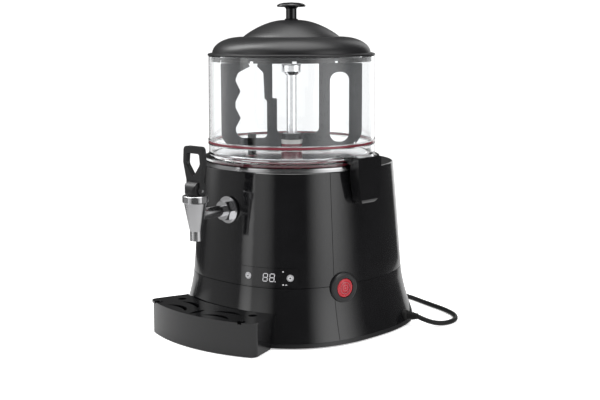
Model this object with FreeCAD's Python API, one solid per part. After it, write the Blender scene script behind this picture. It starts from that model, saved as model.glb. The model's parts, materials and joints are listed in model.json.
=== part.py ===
import FreeCAD, Part
import math
import os

# Heated drink and sauce dispenser: a clear round tank on a tapering black housing.
# Millimetres. X is the width, Y the depth with the front at -Y, Z is up.
# Origin: centre of the footprint, on the surface that the feet stand on.

# ---- overall sizes -------------------------------------------------------------
BASE_HALF_WIDTH = 160.0      # housing at its foot
TOP_HALF_WIDTH = 126.8       # housing at its deck
DECK_Z = 238.0               # top of the housing
BELL_Z = 80.0                # below this the housing flares
SIDE_DRAFT = 0.0823          # straight widening per mm of drop
FLARE_POWER = 1.75
DEPTH_EXTRA = 14.0           # half depth minus half width
BODY_Y = 26.0                # centre of the housing's plan
TANK_Y = 10.0                # axis of tank, stirrer and drive
SEAT = 0.12                  # hair gap where a piece is seated on the curved housing
FRONT_POWER = 2.5            # squareness of the plan, front half
REAR_POWER = 2.3             # squareness of the plan, rear half
PLAN_POINTS = 32

# ---- housing -------------------------------------------------------------------
FOOT_GAP = 2.0
PLINTH_TOP = FOOT_GAP + 6.0
PLINTH_INSET = 1.2
BELT_Z = BELL_Z + 0.7        # seam between lower and upper housing
SEAM_GAP = 0.7
WALL = 3.0
FLOOR = 2.5
SEAM_ANGLES = (-117.0, -23.0)
DECK_THICKNESS = 6.0
FIT_GAP = 0.3                # seat clearance between a part and its opening
FOOT_RADIUS = 11.0
FOOT_INSET = 48.0            # side feet in from the foot of the housing
FOOT_PLACES = tuple((sx * (BASE_HALF_WIDTH - FOOT_INSET), y) for y in (-80, 120) for sx in (1, -1)) + ((0, 170),)
SCREW_INSET = 32.0
SCREW_PLACES = tuple((sx * (BASE_HALF_WIDTH - SCREW_INSET), y) for y in (-30, 75) for sx in (1, -1)) + (
    (60, -116), (-60, -116))
VENT_COUNT = 9
VENT_PITCH = 13.0
VENT_WIDTH = 5.0
VENT_LOW, VENT_HIGH = 28.0, 62.0

# ---- heating plate, seals and tank ---------------------------------------------
RIM_TOP = DECK_Z + 3.5       # trim ring under the heating plate
RIM_RADIUS = TOP_HALF_WIDTH + 1.2
PLATE_FLANGE_TOP = RIM_TOP + 2.0
PLATE_TOP = PLATE_FLANGE_TOP + 11.5
TANK_OUTER = RIM_RADIUS - 7.0
PLATE_RADIUS = TANK_OUTER - 10.0
PLATE_THICKNESS = 2.0
TANK_WALL = 3.5
TANK_DRAFT = 0.8             # the tank narrows by this much over its height
TANK_HEIGHT = 124.0
FLANGE_RADIUS = RIM_RADIUS + 0.5
FLANGE_TOP = PLATE_FLANGE_TOP + 5.5
SHOULDER_Z = FLANGE_TOP + 7.0
SKIRT_TOP = SHOULDER_Z + 11.0
SEAL_TOP = SKIRT_TOP + 7.0
TANK_SEAT = SKIRT_TOP + 3.0
TANK_TOP = TANK_SEAT + TANK_HEIGHT
LOW_SEAL = (FLANGE_TOP - 1.1, FLANGE_TOP + 2.6)
OUTLET_Y = TANK_Y - 83.0
OUTLET_RADIUS = 8.0
OUTLET_BORE = 5.5
HEATER = (44.0, 66.0, DECK_Z + 8.0)

# ---- lid -----------------------------------------------------------------------
LID_LIP = TANK_OUTER + 0.4
LID_LIP_THICKNESS = 3.0
LID_SHOULDER = LID_LIP - 6.4
LID_CREASE = (69.5, TANK_TOP + 27.0)
LID_TOP = TANK_TOP + 51.0
LID_THICKNESS = 2.2
LID_SKIRT_LOW = TANK_TOP - 8.0
KNOB_STEM_RADIUS = 7.7
KNOB_RADIUS = 21.0
KNOB_UNDER = LID_TOP + 18.0
KNOB_TOP = KNOB_UNDER + 7.0

# ---- stirrer and drive -----------------------------------------------------------
STIRRER_ANGLE = 43.0
STIRRER_SPAN = PLATE_RADIUS - 8.0
STIRRER_LOW = PLATE_TOP + 5.0
STIRRER_HIGH = TANK_TOP - 11.0
STIRRER_BAR_TOP = STIRRER_LOW + 21.0
STIRRER_THICKNESS = 4.0
TUBE_RADIUS = 8.0
SHAFT_RADIUS = 5.0
SHAFT_PLAY = 0.05
SLEEVE_RADIUS = 15.5
SLEEVE_TOP = PLATE_TOP + 11.0
HUB_CAP_TOP = SLEEVE_TOP + 6.0
CAP_RADIUS = 14.7
CAP_LOW, CAP_TOP = STIRRER_HIGH - 17.0, STIRRER_HIGH - 2.0
BRACKET = (TOP_HALF_WIDTH - 6.8, 30.0, 4.0)  # half length, half width, thickness
GEARBOX = (38.0, 38.0)        # half width, height
MOTOR_RADIUS, MOTOR_HEIGHT = 31.0, 70.0

# ---- tap -------------------------------------------------------------------------
TAP_REACH = 67.2              # from the deck's front edge to the tap's axis
TAP_Z = DECK_Z - 55.0
TAP_Y = BODY_Y - TOP_HALF_WIDTH - DEPTH_EXTRA - TAP_REACH
SHANK_RADIUS = 8.0
SHANK_BORE = 5.0
TAP_FLANGE_RADIUS, TAP_FLANGE_THICKNESS = 19.0, 2.6
NUT_FLATS, NUT_THICKNESS = 26.0, 9.0
COLLAR_RADIUS = 18.0
COLLAR_LOW, COLLAR_TOP = TAP_Z + 17.0, TAP_Z + 27.0
CONE_TOP_RADIUS, CONE_LOW_RADIUS = 15.6, 8.3
CONE_LOW, SPOUT_LOW = TAP_Z - 22.0, TAP_Z - 35.2
SPOUT_BORE = 6.3
BONNET_RADIUS, BONNET_NECK = 13.0, 12.6
PIVOT_Z = COLLAR_TOP + 7.0
PIVOT_RADIUS = 2.0
HANDLE_WIDTH, HANDLE_TOP, HANDLE_DEPTH, HANDLE_BAR = 39.0, PIVOT_Z + 60.0, 7.5, 5.6
HANDLE_HUB_RADIUS = 6.0
HANDLE_CHEEK = 3.0
PLUNGER_RADIUS = 2.5
VALVE_SEAT_Z = CONE_LOW + 10.0
VALVE_HEAD = 7.0
VALVE_LIFT = 5.0
VALVE_ROOM = 2.4             # wider than the spout bore by this much

# ---- drip tray -------------------------------------------------------------------
TRAY_LOW = 1.0
TRAY_HIGH = 45.0
TRAY_FRONT = TAP_Y - 16.5
TRAY_CORNER = (104.5, TRAY_FRONT + 23.5)
TRAY_REAR = (80.0, -100.0)
TRAY_WALL = 2.5
GRILLE_THICKNESS = 3.0
GRILLE_LIP = 1.5
GRILLE_REAR_GAP = 5.0        # behind the grille, so that it lifts clear of the flared housing
TONGUE = (18.0, 4.0, 14.0)   # half width, height, reach into the housing
TONGUE_X, TONGUE_Z = 46.0, 26.0
ROUND_HOLES = ((83.6, TRAY_FRONT + 18.5, 6.0), (71.5, TRAY_FRONT + 52.5, 6.0))
LEAF_SLOTS = (((-62.0, TRAY_FRONT + 15.5), (-16.6, TRAY_FRONT + 8.5), 9.0),
              ((-60.0, TRAY_FRONT + 41.5), (-15.7, TRAY_FRONT + 31.5), 7.0))
LEAF_HALF = 4.0
CENTRE_SLOT = (TRAY_FRONT + 1.5, TRAY_FRONT + 30.5, 4.0)

# ---- controls --------------------------------------------------------------------
PANEL_ANGLE = -60.4
PANEL_WIDTH = 84.0
PANEL_LOW, PANEL_HIGH = BELT_Z + 2.0, BELT_Z + 27.8
PANEL_PROUD, PANEL_SKIN = 0.6, 1.8
BUTTON_SPREAD = 12.3
BUTTON_RADIUS = 4.75
BUTTON_PLAY = 0.25
BUTTON_PROUD = 1.4
BUTTON_BACK = -6.0
MODULE_BACK = -11.0
BOARD_THICKNESS = 1.6
SWITCH_ANGLE, SWITCH_Z = -16.8, BELL_Z - 3.0
BEZEL_RADIUS, BEZEL_PROUD = 22.0, 4.0
BARREL_RADIUS, BARREL_BACK = 17.0, -14.0
POWER_RADIUS, POWER_PLAY = 13.5, 0.3
POWER_PROUD, POWER_BACK = 5.0, -8.0
SWITCH_BODY_BACK = -36.0

# ---- latch -----------------------------------------------------------------------
LATCH_Y = TANK_Y + 2.0
LATCH_HALF = 25.0
LATCH_OUT = FLANGE_RADIUS + 18.0
LATCH_TOP = PLATE_FLANGE_TOP + 13.0
LATCH_PIVOT = (FLANGE_RADIUS + 10.5, DECK_Z - 39.5)  # X, Z
LATCH_KNUCKLE = 7.8
LATCH_PIN_RADIUS = 2.5
LATCH_EAR = (8.0, 5.5)        # half width, radius round the pin
LATCH_GAP = 0.5
LATCH_ARM = 3.5               # half thickness of the arm behind the ear

# ---- cord ------------------------------------------------------------------------
CORD_DIAMETER = 7.0
CORD_ANGLE, CORD_Z = 30.5, 15.0
RELIEF_LENGTH = 20.0
RELIEF_RADIUS = 8.0
COIL_PLACE = (-88.0, 266.0)
COIL_RADIUS = 38.5            # middle of its turns
COIL_HALF_WIDTH = 10.5
COIL_HEIGHT = 14.0
PLUG_LENGTH, PLUG_RADIUS, PLUG_HALF_HEIGHT = 36.0, 10.0, 7.0


# ---- plain helpers ---------------------------------------------------------------
def vec(x, y, z=0.0):
    return FreeCAD.Vector(x, y, z)


def rod(radius, low, high, x=0.0, y=0.0):
    """Upright cylinder between two heights."""
    return Part.makeCylinder(radius, high - low, vec(x, y, low))


def ring(outer, inner, low, high, x=0.0, y=0.0):
    return rod(outer, low, high, x, y).cut(rod(inner, low - 1, high + 1, x, y))


def rod_y(radius, start, end, x=0.0, z=0.0):
    """Cylinder along Y."""
    return Part.makeCylinder(radius, end - start, vec(x, start, z), vec(0, 1, 0))


def block(x0, y0, z0, x1, y1, z1):
    return Part.makeBox(x1 - x0, y1 - y0, z1 - z0, vec(x0, y0, z0))


def prism(edges_or_points, low, high):
    """Solid on a closed plan outline, between two heights."""
    if isinstance(edges_or_points, Part.Wire):
        wire = edges_or_points
    else:
        points = [vec(x, y) for x, y in edges_or_points]
        wire = Part.makePolygon(points + points[:1])
    face = Part.Face(wire)
    face.translate(vec(0, 0, low))
    return face.extrude(vec(0, 0, high - low))


def turned(profile, x=0.0, y=TANK_Y):
    """Solid of revolution about an upright axis from (radius, z) points."""
    points = [vec(r, 0, z) for r, z in profile]
    face = Part.Face(Part.makePolygon(points + points[:1]))
    solid = face.revolve(vec(0, 0, 0), vec(0, 0, 1), 360)
    solid.translate(vec(x, y, 0))
    return solid


def joined(shapes):
    result = shapes[0]
    for shape in shapes[1:]:
        result = result.fuse(shape)
    return result.removeSplitter()


def group(shapes):
    return Part.makeCompound(shapes)


# ---- plan of the housing ---------------------------------------------------------
def half_width(z):
    straight = TOP_HALF_WIDTH + (DECK_Z - z) * SIDE_DRAFT
    if z >= BELL_Z:
        return straight
    flare = BASE_HALF_WIDTH - (TOP_HALF_WIDTH + (DECK_Z - FOOT_GAP) * SIDE_DRAFT)
    return straight + flare * ((BELL_Z - z) / (BELL_Z - FOOT_GAP)) ** FLARE_POWER


def plan_axes(z, inset):
    a = half_width(z) - inset
    return a, a + DEPTH_EXTRA


def plan_wire(z, inset=0.0):
    """Rounded-square outline of the housing at one height."""
    a, b = plan_axes(z, inset)
    points = []
    for i in range(PLAN_POINTS):
        t = 2 * math.pi * i / PLAN_POINTS
        c, s = math.cos(t), math.sin(t)
        power = 2 / (REAR_POWER if s >= 0 else FRONT_POWER)
        x = a * math.copysign(abs(c) ** power, c)
        y = b * math.copysign(abs(s) ** power, s)
        points.append(vec(x, BODY_Y + y, z))
    curve = Part.BSplineCurve()
    curve.interpolate(Points=points, PeriodicFlag=True)
    return Part.Wire([curve.toShape()])


def body_solid(low, high, inset=0.0):
    """The housing's outer form between two heights, moved in by inset."""
    middle = [z for z in (12, 22, 34, 48, 62, BELL_Z, 110, 160) if low + 3 < z < high - 3]
    wires = [plan_wire(z, inset) for z in [low] + middle + [high]]
    return Part.makeLoft(wires, True, False)


def surface_frame(angle, z):
    """Point on the housing in a direction from the tank's axis, and its level outward normal."""
    direction = vec(math.cos(math.radians(angle)), math.sin(math.radians(angle)))
    a, b = plan_axes(z, 0.0)

    def reach(r):
        x, y = direction.x * r, TANK_Y + direction.y * r - BODY_Y
        power = REAR_POWER if y >= 0 else FRONT_POWER
        slope = vec(math.copysign(abs(x) ** (power - 1) / a ** power, x),
                    math.copysign(abs(y) ** (power - 1) / b ** power, y))
        return (abs(x) / a) ** power + (abs(y) / b) ** power, slope

    low, high = 0.0, 2 * b
    for _ in range(50):
        middle = (low + high) / 2
        low, high = (middle, high) if reach(middle)[0] < 1 else (low, middle)
    normal = reach(low)[1]
    normal.normalize()
    return vec(direction.x * low, TANK_Y + direction.y * low, z), normal


def placed(shape, point, normal):
    """Move a shape whose local +Z is outward and +Y is up on to a surface frame."""
    up = vec(0, 0, 1)
    across = up.cross(normal)
    matrix = FreeCAD.Matrix(across.x, up.x, normal.x, point.x,
                            across.y, up.y, normal.y, point.y,
                            across.z, up.z, normal.z, point.z, 0, 0, 0, 1)
    moved = shape.copy()
    moved.Placement = FreeCAD.Placement(matrix)
    return moved


def front_wedge():
    """Everything in front of the two upright seams."""
    left, right = SEAM_ANGLES
    far = 600.0
    points = [(0, TANK_Y)]
    for angle in (left, (left + right) / 2, right):
        a = math.radians(angle)
        points.append((far * math.cos(a), TANK_Y + far * math.sin(a)))
    return prism(points, 0, DECK_Z + 1)


def seam_slabs():
    slabs = []
    for angle in SEAM_ANGLES:
        slab = block(0, -SEAM_GAP / 2, 0, 300, SEAM_GAP / 2, DECK_Z + 1)
        slab.rotate(vec(0, 0, 0), vec(0, 0, 1), angle)
        slab.translate(vec(0, TANK_Y, 0))
        slabs.append(slab)
    return joined(slabs)


def panel_prism(extra=0.0):
    """Upright block round the display panel, larger all round by extra."""
    point, normal = surface_frame(PANEL_ANGLE, (PANEL_LOW + PANEL_HIGH) / 2)
    half_height = (PANEL_HIGH - PANEL_LOW) / 2 + extra
    half = PANEL_WIDTH / 2 + extra
    return placed(block(-half, -half_height, -40, half, half_height, 20), point, normal)


def switch_hole():
    point, normal = surface_frame(SWITCH_ANGLE, SWITCH_Z)
    hole = Part.makeCylinder(BARREL_RADIUS + FIT_GAP, 40, vec(0, 0, -20))
    return placed(hole, point, normal)


def tray_block(extra):
    """The drip tray's outline, larger all round by extra, before the housing trims it."""
    cx, cy = TRAY_CORNER
    rx, ry = TRAY_REAR
    cx, rx, cy, front = cx + extra, rx + extra, cy - extra, TRAY_FRONT - extra
    nose = Part.Arc(vec(-cx, cy), vec(0, front), vec(cx, cy)).toShape()
    right = Part.LineSegment(vec(cx, cy), vec(rx, ry)).toShape()
    back = Part.LineSegment(vec(rx, ry), vec(-rx, ry)).toShape()
    left = Part.LineSegment(vec(-rx, ry), vec(-cx, cy)).toShape()
    return Part.Wire([nose, right, back, left])


def tray_solid(extra, low, high, radius):
    solid = prism(tray_block(extra), low, high)
    corners = [e for e in solid.Edges
               if len(e.Vertexes) == 2
               and abs(e.Vertexes[0].X - e.Vertexes[1].X) < 0.01
               and abs(e.Vertexes[0].Y - e.Vertexes[1].Y) < 0.01
               and e.Vertexes[0].Y < TRAY_REAR[1] - 20]
    return solid.makeFillet(radius, corners)


def tongue(extra):
    """The two hooks that carry the tray, larger all round by extra."""
    half, height, reach = TONGUE
    rear = surface_frame(-90, TONGUE_Z)[0].y + WALL + reach
    parts = [block(side * TONGUE_X - half - extra, -150, TONGUE_Z - height / 2 - extra,
                   side * TONGUE_X + half + extra, rear, TONGUE_Z + height / 2 + extra)
             for side in (-1, 1)]
    return group(parts)


# ---- housing ---------------------------------------------------------------------
def shell(low, high):
    return body_solid(low, high).cut(body_solid(low - 1, high + 1, WALL))


def base_plate():
    plate = body_solid(FOOT_GAP, PLINTH_TOP, PLINTH_INSET)
    plate = plate.cut(body_solid(FOOT_GAP + FLOOR, PLINTH_TOP + 1, PLINTH_INSET + 6))
    slots = [block(x - 3, -20, 0, x + 3, 70, PLINTH_TOP + 1) for x in range(-60, 61, 20)]
    holes = [rod(4.0, 0, PLINTH_TOP + 1, x, y) for x, y in FOOT_PLACES]
    return plate.cut(group(slots + holes))


def rubber_feet():
    feet = []
    for x, y in FOOT_PLACES:
        pad = rod(FOOT_RADIUS, 0, FOOT_GAP, x, y)
        feet.append(joined([pad, rod(3.9, FOOT_GAP, FOOT_GAP + FLOOR + 1, x, y)]))
    return group(feet)


def lower_shell():
    lower = shell(PLINTH_TOP, BELT_Z - SEAM_GAP / 2)
    relief_point, relief_normal = surface_frame(CORD_ANGLE, CORD_Z)
    cord_hole = placed(Part.makeCylinder(RELIEF_RADIUS - 2, 40, vec(0, 0, -20)), relief_point, relief_normal)
    vents = [block((i - (VENT_COUNT - 1) / 2) * VENT_PITCH - VENT_WIDTH / 2, 150, VENT_LOW,
                   (i - (VENT_COUNT - 1) / 2) * VENT_PITCH + VENT_WIDTH / 2, 230, VENT_HIGH)
             for i in range(VENT_COUNT)]
    return lower.cut(group(vents)).cut(cord_hole).cut(tongue(FIT_GAP)).cut(switch_hole()).cut(seam_slabs())


def upper_shell():
    rounding = 2.0
    low = BELT_Z + SEAM_GAP / 2
    straight = body_solid(low, DECK_Z - rounding)
    steps = ((0.0, 0.0), (0.9, 0.25), (1.6, 0.9), (2.0, 1.8))
    edge = Part.makeLoft([plan_wire(DECK_Z - rounding + dz, inset) for dz, inset in steps], True, True)
    solid = straight.fuse(edge)
    solid = solid.cut(body_solid(low - 1, DECK_Z + 1, WALL))
    tap_hole = rod_y(SHANK_RADIUS + FIT_GAP, -160, -90, 0, TAP_Z)
    return solid.cut(panel_prism(FIT_GAP)).cut(tap_hole).cut(switch_hole()).cut(seam_slabs())


def top_deck():
    low = DECK_Z - DECK_THICKNESS
    deck = body_solid(low, DECK_Z, WALL + 0.1)
    return deck.cut(rod(PLATE_RADIUS + 1, low - 1, DECK_Z + 1, 0, TANK_Y))


def base_screws():
    screws = []
    for x, y in SCREW_PLACES:
        head = rod(3.5, FOOT_GAP + FLOOR, FOOT_GAP + FLOOR + 2, x, y)
        recess = block(x - 2.4, y - 0.5, FOOT_GAP + FLOOR + 1, x + 2.4, y + 0.5, PLINTH_TOP)
        screws.append(head.cut(recess))
    return group(screws)


# ---- heating plate and tank --------------------------------------------------------
def plate_rim():
    return ring(RIM_RADIUS, RIM_RADIUS - 14, DECK_Z, RIM_TOP, 0, TANK_Y)


def heating_plate():
    t = PLATE_THICKNESS
    profile = [(SHAFT_RADIUS + 1.5, PLATE_TOP), (PLATE_RADIUS - 1, PLATE_TOP), (PLATE_RADIUS, PLATE_TOP - 1),
               (PLATE_RADIUS, PLATE_FLANGE_TOP), (RIM_RADIUS, PLATE_FLANGE_TOP), (RIM_RADIUS, RIM_TOP),
               (PLATE_RADIUS - t, RIM_TOP), (PLATE_RADIUS - t, PLATE_TOP - t), (SHAFT_RADIUS + 1.5, PLATE_TOP - t)]
    return turned(profile).cut(rod(OUTLET_RADIUS + 1, PLATE_TOP - 5, PLATE_TOP + 1, 0, OUTLET_Y))


def heating_element():
    inner, outer, low = HEATER
    coil = ring(outer, inner, low, PLATE_TOP - PLATE_THICKNESS, 0, TANK_Y)
    gap = block(inner - 5, TANK_Y - 6, low - 1, outer + 5, TANK_Y + 6, PLATE_TOP)
    pins = [rod(1.5, low - 12, low + 1, (inner + outer) / 2, TANK_Y + side * 9) for side in (-1, 1)]
    return joined([coil.cut(gap)] + pins)


def thermostat():
    top = PLATE_TOP - PLATE_THICKNESS
    return joined([rod(9, top - 4, top, 26, TANK_Y), rod(6, top - 12, top - 4, 26, TANK_Y)])


def tank_inner(z):
    return TANK_OUTER - TANK_WALL - TANK_DRAFT * (z - TANK_SEAT) / (TANK_TOP - TANK_SEAT)


def tank():
    top_outer = TANK_OUTER - TANK_DRAFT
    edge = 0.8
    return turned([(TANK_OUTER - TANK_WALL, TANK_SEAT), (TANK_OUTER, TANK_SEAT), (top_outer, TANK_TOP - edge),
                   (top_outer - edge, TANK_TOP), (top_outer - TANK_WALL + edge, TANK_TOP),
                   (top_outer - TANK_WALL, TANK_TOP - edge)])


def skirt_outline(extra=0.0):
    """Outer edge of the tank's clear foot ring, from its flange up to its top."""
    reach = FLANGE_RADIUS - TANK_OUTER
    rise = SHOULDER_Z - FLANGE_TOP
    shoulder = [(FLANGE_RADIUS - reach * math.sin(math.radians(a)) + extra,
                 FLANGE_TOP + rise * (1 - math.cos(math.radians(a))) + extra) for a in (0, 30, 50, 70, 90)]
    return [(FLANGE_RADIUS + extra, PLATE_FLANGE_TOP)] + shoulder + [(TANK_OUTER + extra, SKIRT_TOP + extra)]


def tank_skirt():
    low_seal, high_seal = LOW_SEAL
    inner = TANK_OUTER - TANK_WALL
    profile = skirt_outline() + [(inner, SKIRT_TOP), (inner, high_seal + 0.1), (inner + 3, high_seal + 0.1),
                                 (inner + 3, low_seal - 0.1), (inner, low_seal - 0.1), (inner, PLATE_FLANGE_TOP)]
    return turned(profile)


def lower_seal():
    low, high = LOW_SEAL
    inner = TANK_OUTER - TANK_WALL
    return turned([(PLATE_RADIUS + 0.1, PLATE_FLANGE_TOP), (inner - 0.1, PLATE_FLANGE_TOP), (inner - 0.1, low),
                   (inner + 2.8, low), (inner + 2.8, high), (inner - 1.5, high), (PLATE_RADIUS + 0.1, high - 1.5)])


def upper_seal():
    inner = TANK_OUTER - TANK_WALL
    lip = 1.3
    return turned([(inner - lip, SKIRT_TOP), (TANK_OUTER + lip, SKIRT_TOP), (TANK_OUTER + lip, SEAL_TOP),
                   (TANK_OUTER + 0.05, SEAL_TOP), (TANK_OUTER + 0.05, TANK_SEAT), (inner - 0.05, TANK_SEAT),
                   (inner - 0.05, SEAL_TOP - 1), (inner - lip, SEAL_TOP - 2)])


def outlet_seal():
    return ring(OUTLET_RADIUS + 0.9, OUTLET_BORE, PLATE_TOP - PLATE_THICKNESS, PLATE_TOP + 0.2, 0, OUTLET_Y)


def outlet_elbow():
    front = surface_frame(-90, TAP_Z)[0].y + WALL + 16
    top = PLATE_TOP - PLATE_THICKNESS
    solid = joined([rod(OUTLET_RADIUS, TAP_Z, top, 0, OUTLET_Y),
                    rod_y(OUTLET_RADIUS, front, OUTLET_Y, 0, TAP_Z),
                    Part.makeSphere(OUTLET_RADIUS, vec(0, OUTLET_Y, TAP_Z))])
    bore = joined([rod(OUTLET_BORE, TAP_Z, top + 1, 0, OUTLET_Y), rod_y(OUTLET_BORE, front - 1, OUTLET_Y, 0, TAP_Z)])
    return solid.cut(bore)


# ---- lid ---------------------------------------------------------------------------
def lid_curve(drop):
    """Dome from the lip up to the knob: an outer roll, a crease and a flatter cap."""
    crease_r, crease_z = LID_CREASE
    base_z = TANK_TOP + LID_LIP_THICKNESS
    points = []
    for a in range(0, 91, 10):
        u = math.radians(a)
        r = crease_r + (LID_SHOULDER - crease_r) * math.cos(u) ** 0.9 if a < 90 else crease_r
        points.append((r - drop * math.cos(u), base_z + (crease_z - base_z) * math.sin(u) - drop * math.sin(u)))
    for i in range(1, 8):
        r = crease_r * (1 - i / 8) + KNOB_STEM_RADIUS * i / 8
        t = (crease_r - r) / (crease_r - KNOB_STEM_RADIUS)
        points.append((r, crease_z + (LID_TOP - crease_z) * math.sin(t * math.pi / 2) ** 0.85 - drop))
    return points


def lid():
    skirt = tank_inner(TANK_TOP) - 0.5
    lip_low = TANK_TOP
    outer = [(LID_LIP, lip_low), (LID_LIP, TANK_TOP + LID_LIP_THICKNESS)] + lid_curve(0) + [(0, LID_TOP)]
    inner = [(0, LID_TOP - LID_THICKNESS)] + lid_curve(LID_THICKNESS)[::-1]
    inner += [(skirt - LID_THICKNESS, TANK_TOP), (skirt - LID_THICKNESS, LID_SKIRT_LOW),
              (skirt, LID_SKIRT_LOW), (skirt, lip_low)]
    shell_part = turned(outer + inner)
    shell_part = shell_part.cut(rod(2.6, LID_TOP - 8, LID_TOP + 1, 0, TANK_Y))
    notches = []
    for i in range(12):
        notch = block(skirt - 6, -3, LID_SKIRT_LOW - 1, skirt + 2, 3, LID_SKIRT_LOW + 3)
        notch.rotate(vec(0, 0, 0), vec(0, 0, 1), 30 * i + 15)
        notch.translate(vec(0, TANK_Y, 0))
        notches.append(notch)
    return shell_part.cut(group(notches))


def knob_washer():
    return ring(KNOB_STEM_RADIUS + 1.8, 2.6, LID_TOP, LID_TOP + 1.5, 0, TANK_Y)


def lid_knob():
    low = LID_TOP + 1.5
    rim = KNOB_RADIUS
    stem = KNOB_STEM_RADIUS
    profile = [(2.6, low), (stem, low), (stem, KNOB_UNDER - 2), (stem + 2, KNOB_UNDER), (rim - 1, KNOB_UNDER + 0.5),
               (rim, KNOB_UNDER + 1.8), (rim - 0.8, KNOB_UNDER + 3.3), (rim - 4, KNOB_UNDER + 5),
               (rim - 10, KNOB_TOP - 0.7), (0, KNOB_TOP), (0, low + 12), (2.6, low + 12)]
    return turned(profile)


def knob_screw():
    low = LID_TOP - LID_THICKNESS - FIT_GAP
    return joined([rod(5.0, low - 2.5, low, 0, TANK_Y), rod(2.5, low - 1, LID_TOP + 13, 0, TANK_Y)])


# ---- stirrer and drive ---------------------------------------------------------------
def arc_chain(points):
    """Closed wire in the XZ plane: a third value on a point rounds that corner."""
    edges = []
    count = len(points)
    ends = []
    for i, (x, z, radius) in enumerate(points):
        here = vec(x, 0, z)
        before = vec(points[i - 1][0], 0, points[i - 1][1]).sub(here)
        after = vec(points[(i + 1) % count][0], 0, points[(i + 1) % count][1]).sub(here)
        half = before.getAngle(after) / 2
        reach = radius / math.tan(half) if radius else 0.0
        first = here.add(before.normalize().multiply(reach)) if radius else here
        last = here.add(after.normalize().multiply(reach)) if radius else here
        if radius:
            inward = before.add(after).normalize()
            middle = here.add(inward.multiply(radius / math.sin(half) - radius))
            edges.append(Part.Arc(first, middle, last).toShape())
        ends.append((first, last, len(edges)))
    result = []
    done = 0
    for i, (first, last, reached) in enumerate(ends):
        result.extend(edges[done:reached])
        done = reached
        following = ends[(i + 1) % count][0]
        if last.distanceToPoint(following) > 1e-6:
            result.append(Part.LineSegment(last, following).toShape())
    return Part.Wire(result)


def flat_xz(points, thickness):
    face = Part.Face(arc_chain(points))
    face.translate(vec(0, -thickness / 2, 0))
    return face.extrude(vec(0, thickness, 0))


def stirrer_windows():
    low, bar, high = STIRRER_LOW, STIRRER_BAR_TOP, STIRRER_HIGH
    above = high + 5
    step = low + 72
    left_span, right_span = 82.0, 84.0
    shaft_left = [(-21.4, bar, 6), (-21.4, step, 2), (-28, step, 2), (-28, above, 0), (40, above, 0), (40, bar, 8)]
    left = [(-36, low + 14, 6), (-36, step - 4, 3), (-39.5, step, 3), (-41, high - 14, 6), (-50, high - 5, 0),
            (-48, above, 0), (-66, above, 0), (-60.5, high - 5, 0), (-78, high - 14, 8), (-left_span, step + 26, 6),
            (-74.5, step + 10, 4), (-left_span, step - 5, 8), (-left_span, step - 14, 8), (-74.5, step - 29, 4),
            (-left_span, step - 43, 8), (-left_span + 1, low + 14, 12)]
    right = [(56, low + 8, 12), (right_span, low + 8, 13), (right_span, high - 13, 12), (56, high - 13, 13)]
    return group([flat_xz(points, 40) for points in (shaft_left, left, right)])


def stirrer_frame():
    span, low, high = STIRRER_SPAN, STIRRER_LOW, STIRRER_HIGH
    plate = flat_xz([(-span, low, 22), (span, low, 26), (span, high, 2), (-span, high, 2)], STIRRER_THICKNESS)
    plate = plate.cut(stirrer_windows())
    collar = rod(SLEEVE_RADIUS - 2, HUB_CAP_TOP, STIRRER_BAR_TOP)
    solid = plate.fuse(collar).cut(rod(TUBE_RADIUS, low - 5, high + 5))
    solid = solid.cut(rod(SLEEVE_RADIUS, low - 5, HUB_CAP_TOP))
    return on_stirrer(solid)


def on_stirrer(shape):
    moved = shape.copy()
    moved.rotate(vec(0, 0, 0), vec(0, 0, 1), STIRRER_ANGLE)
    moved.translate(vec(0, TANK_Y, 0))
    return moved


def stirrer_wiper():
    """Soft blade clipped over the lower bar, clear of the plate by a little."""
    low = PLATE_TOP + 0.6
    blade = block(-64.5, -5, low, -52.5, 5, STIRRER_LOW + 20)
    slot = block(-70, -STIRRER_THICKNESS / 2, STIRRER_LOW, -50, STIRRER_THICKNESS / 2, STIRRER_HIGH)
    return on_stirrer(blade.cut(slot))


def stirrer_tube():
    return ring(TUBE_RADIUS, SHAFT_RADIUS + SHAFT_PLAY, HUB_CAP_TOP, CAP_LOW, 0, TANK_Y)


def stirrer_cap():
    low, r = CAP_LOW, CAP_RADIUS
    cap = turned([(0, low), (TUBE_RADIUS + 1.5, low), (r, low + 5), (r, CAP_TOP - 1), (r - 1, CAP_TOP), (0, CAP_TOP)])
    return cap.cut(rod(SHAFT_RADIUS + SHAFT_PLAY, low - 1, low + 10, 0, TANK_Y))


def hub_sleeve():
    return ring(SLEEVE_RADIUS, SHAFT_RADIUS + SHAFT_PLAY, PLATE_TOP + 0.5, SLEEVE_TOP, 0, TANK_Y)


def hub_cap():
    r = SLEEVE_RADIUS
    cap = turned([(0, SLEEVE_TOP), (r, SLEEVE_TOP), (r, HUB_CAP_TOP - 1), (r - 1, HUB_CAP_TOP), (0, HUB_CAP_TOP)])
    return cap.cut(rod(SHAFT_RADIUS + SHAFT_PLAY, SLEEVE_TOP - 1, HUB_CAP_TOP + 1, 0, TANK_Y))


def deck_low():
    return DECK_Z - DECK_THICKNESS


def drive_shaft():
    low = deck_low() - BRACKET[2] - GEARBOX[1] / 2
    return rod(SHAFT_RADIUS, low, CAP_LOW + 9.5, 0, TANK_Y)


def motor_bracket():
    length, width, thickness = BRACKET
    top = deck_low()
    strip = block(-length, TANK_Y - width, top - thickness, length, TANK_Y + width, top)
    return strip.cut(rod(SHAFT_RADIUS + 3, top - 10, top + 1, 0, TANK_Y))


def gearbox():
    half, height = GEARBOX
    top = deck_low() - BRACKET[2]
    case = block(-half, TANK_Y - half, top - height, half, TANK_Y + half, top)
    uprights = [e for e in case.Edges if abs(e.Vertexes[0].Z - e.Vertexes[1].Z) > 1]
    case = case.makeFillet(5, uprights)
    return case.cut(rod(SHAFT_RADIUS + SHAFT_PLAY, top - height / 2 - 0.5, top + 1, 0, TANK_Y))


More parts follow.
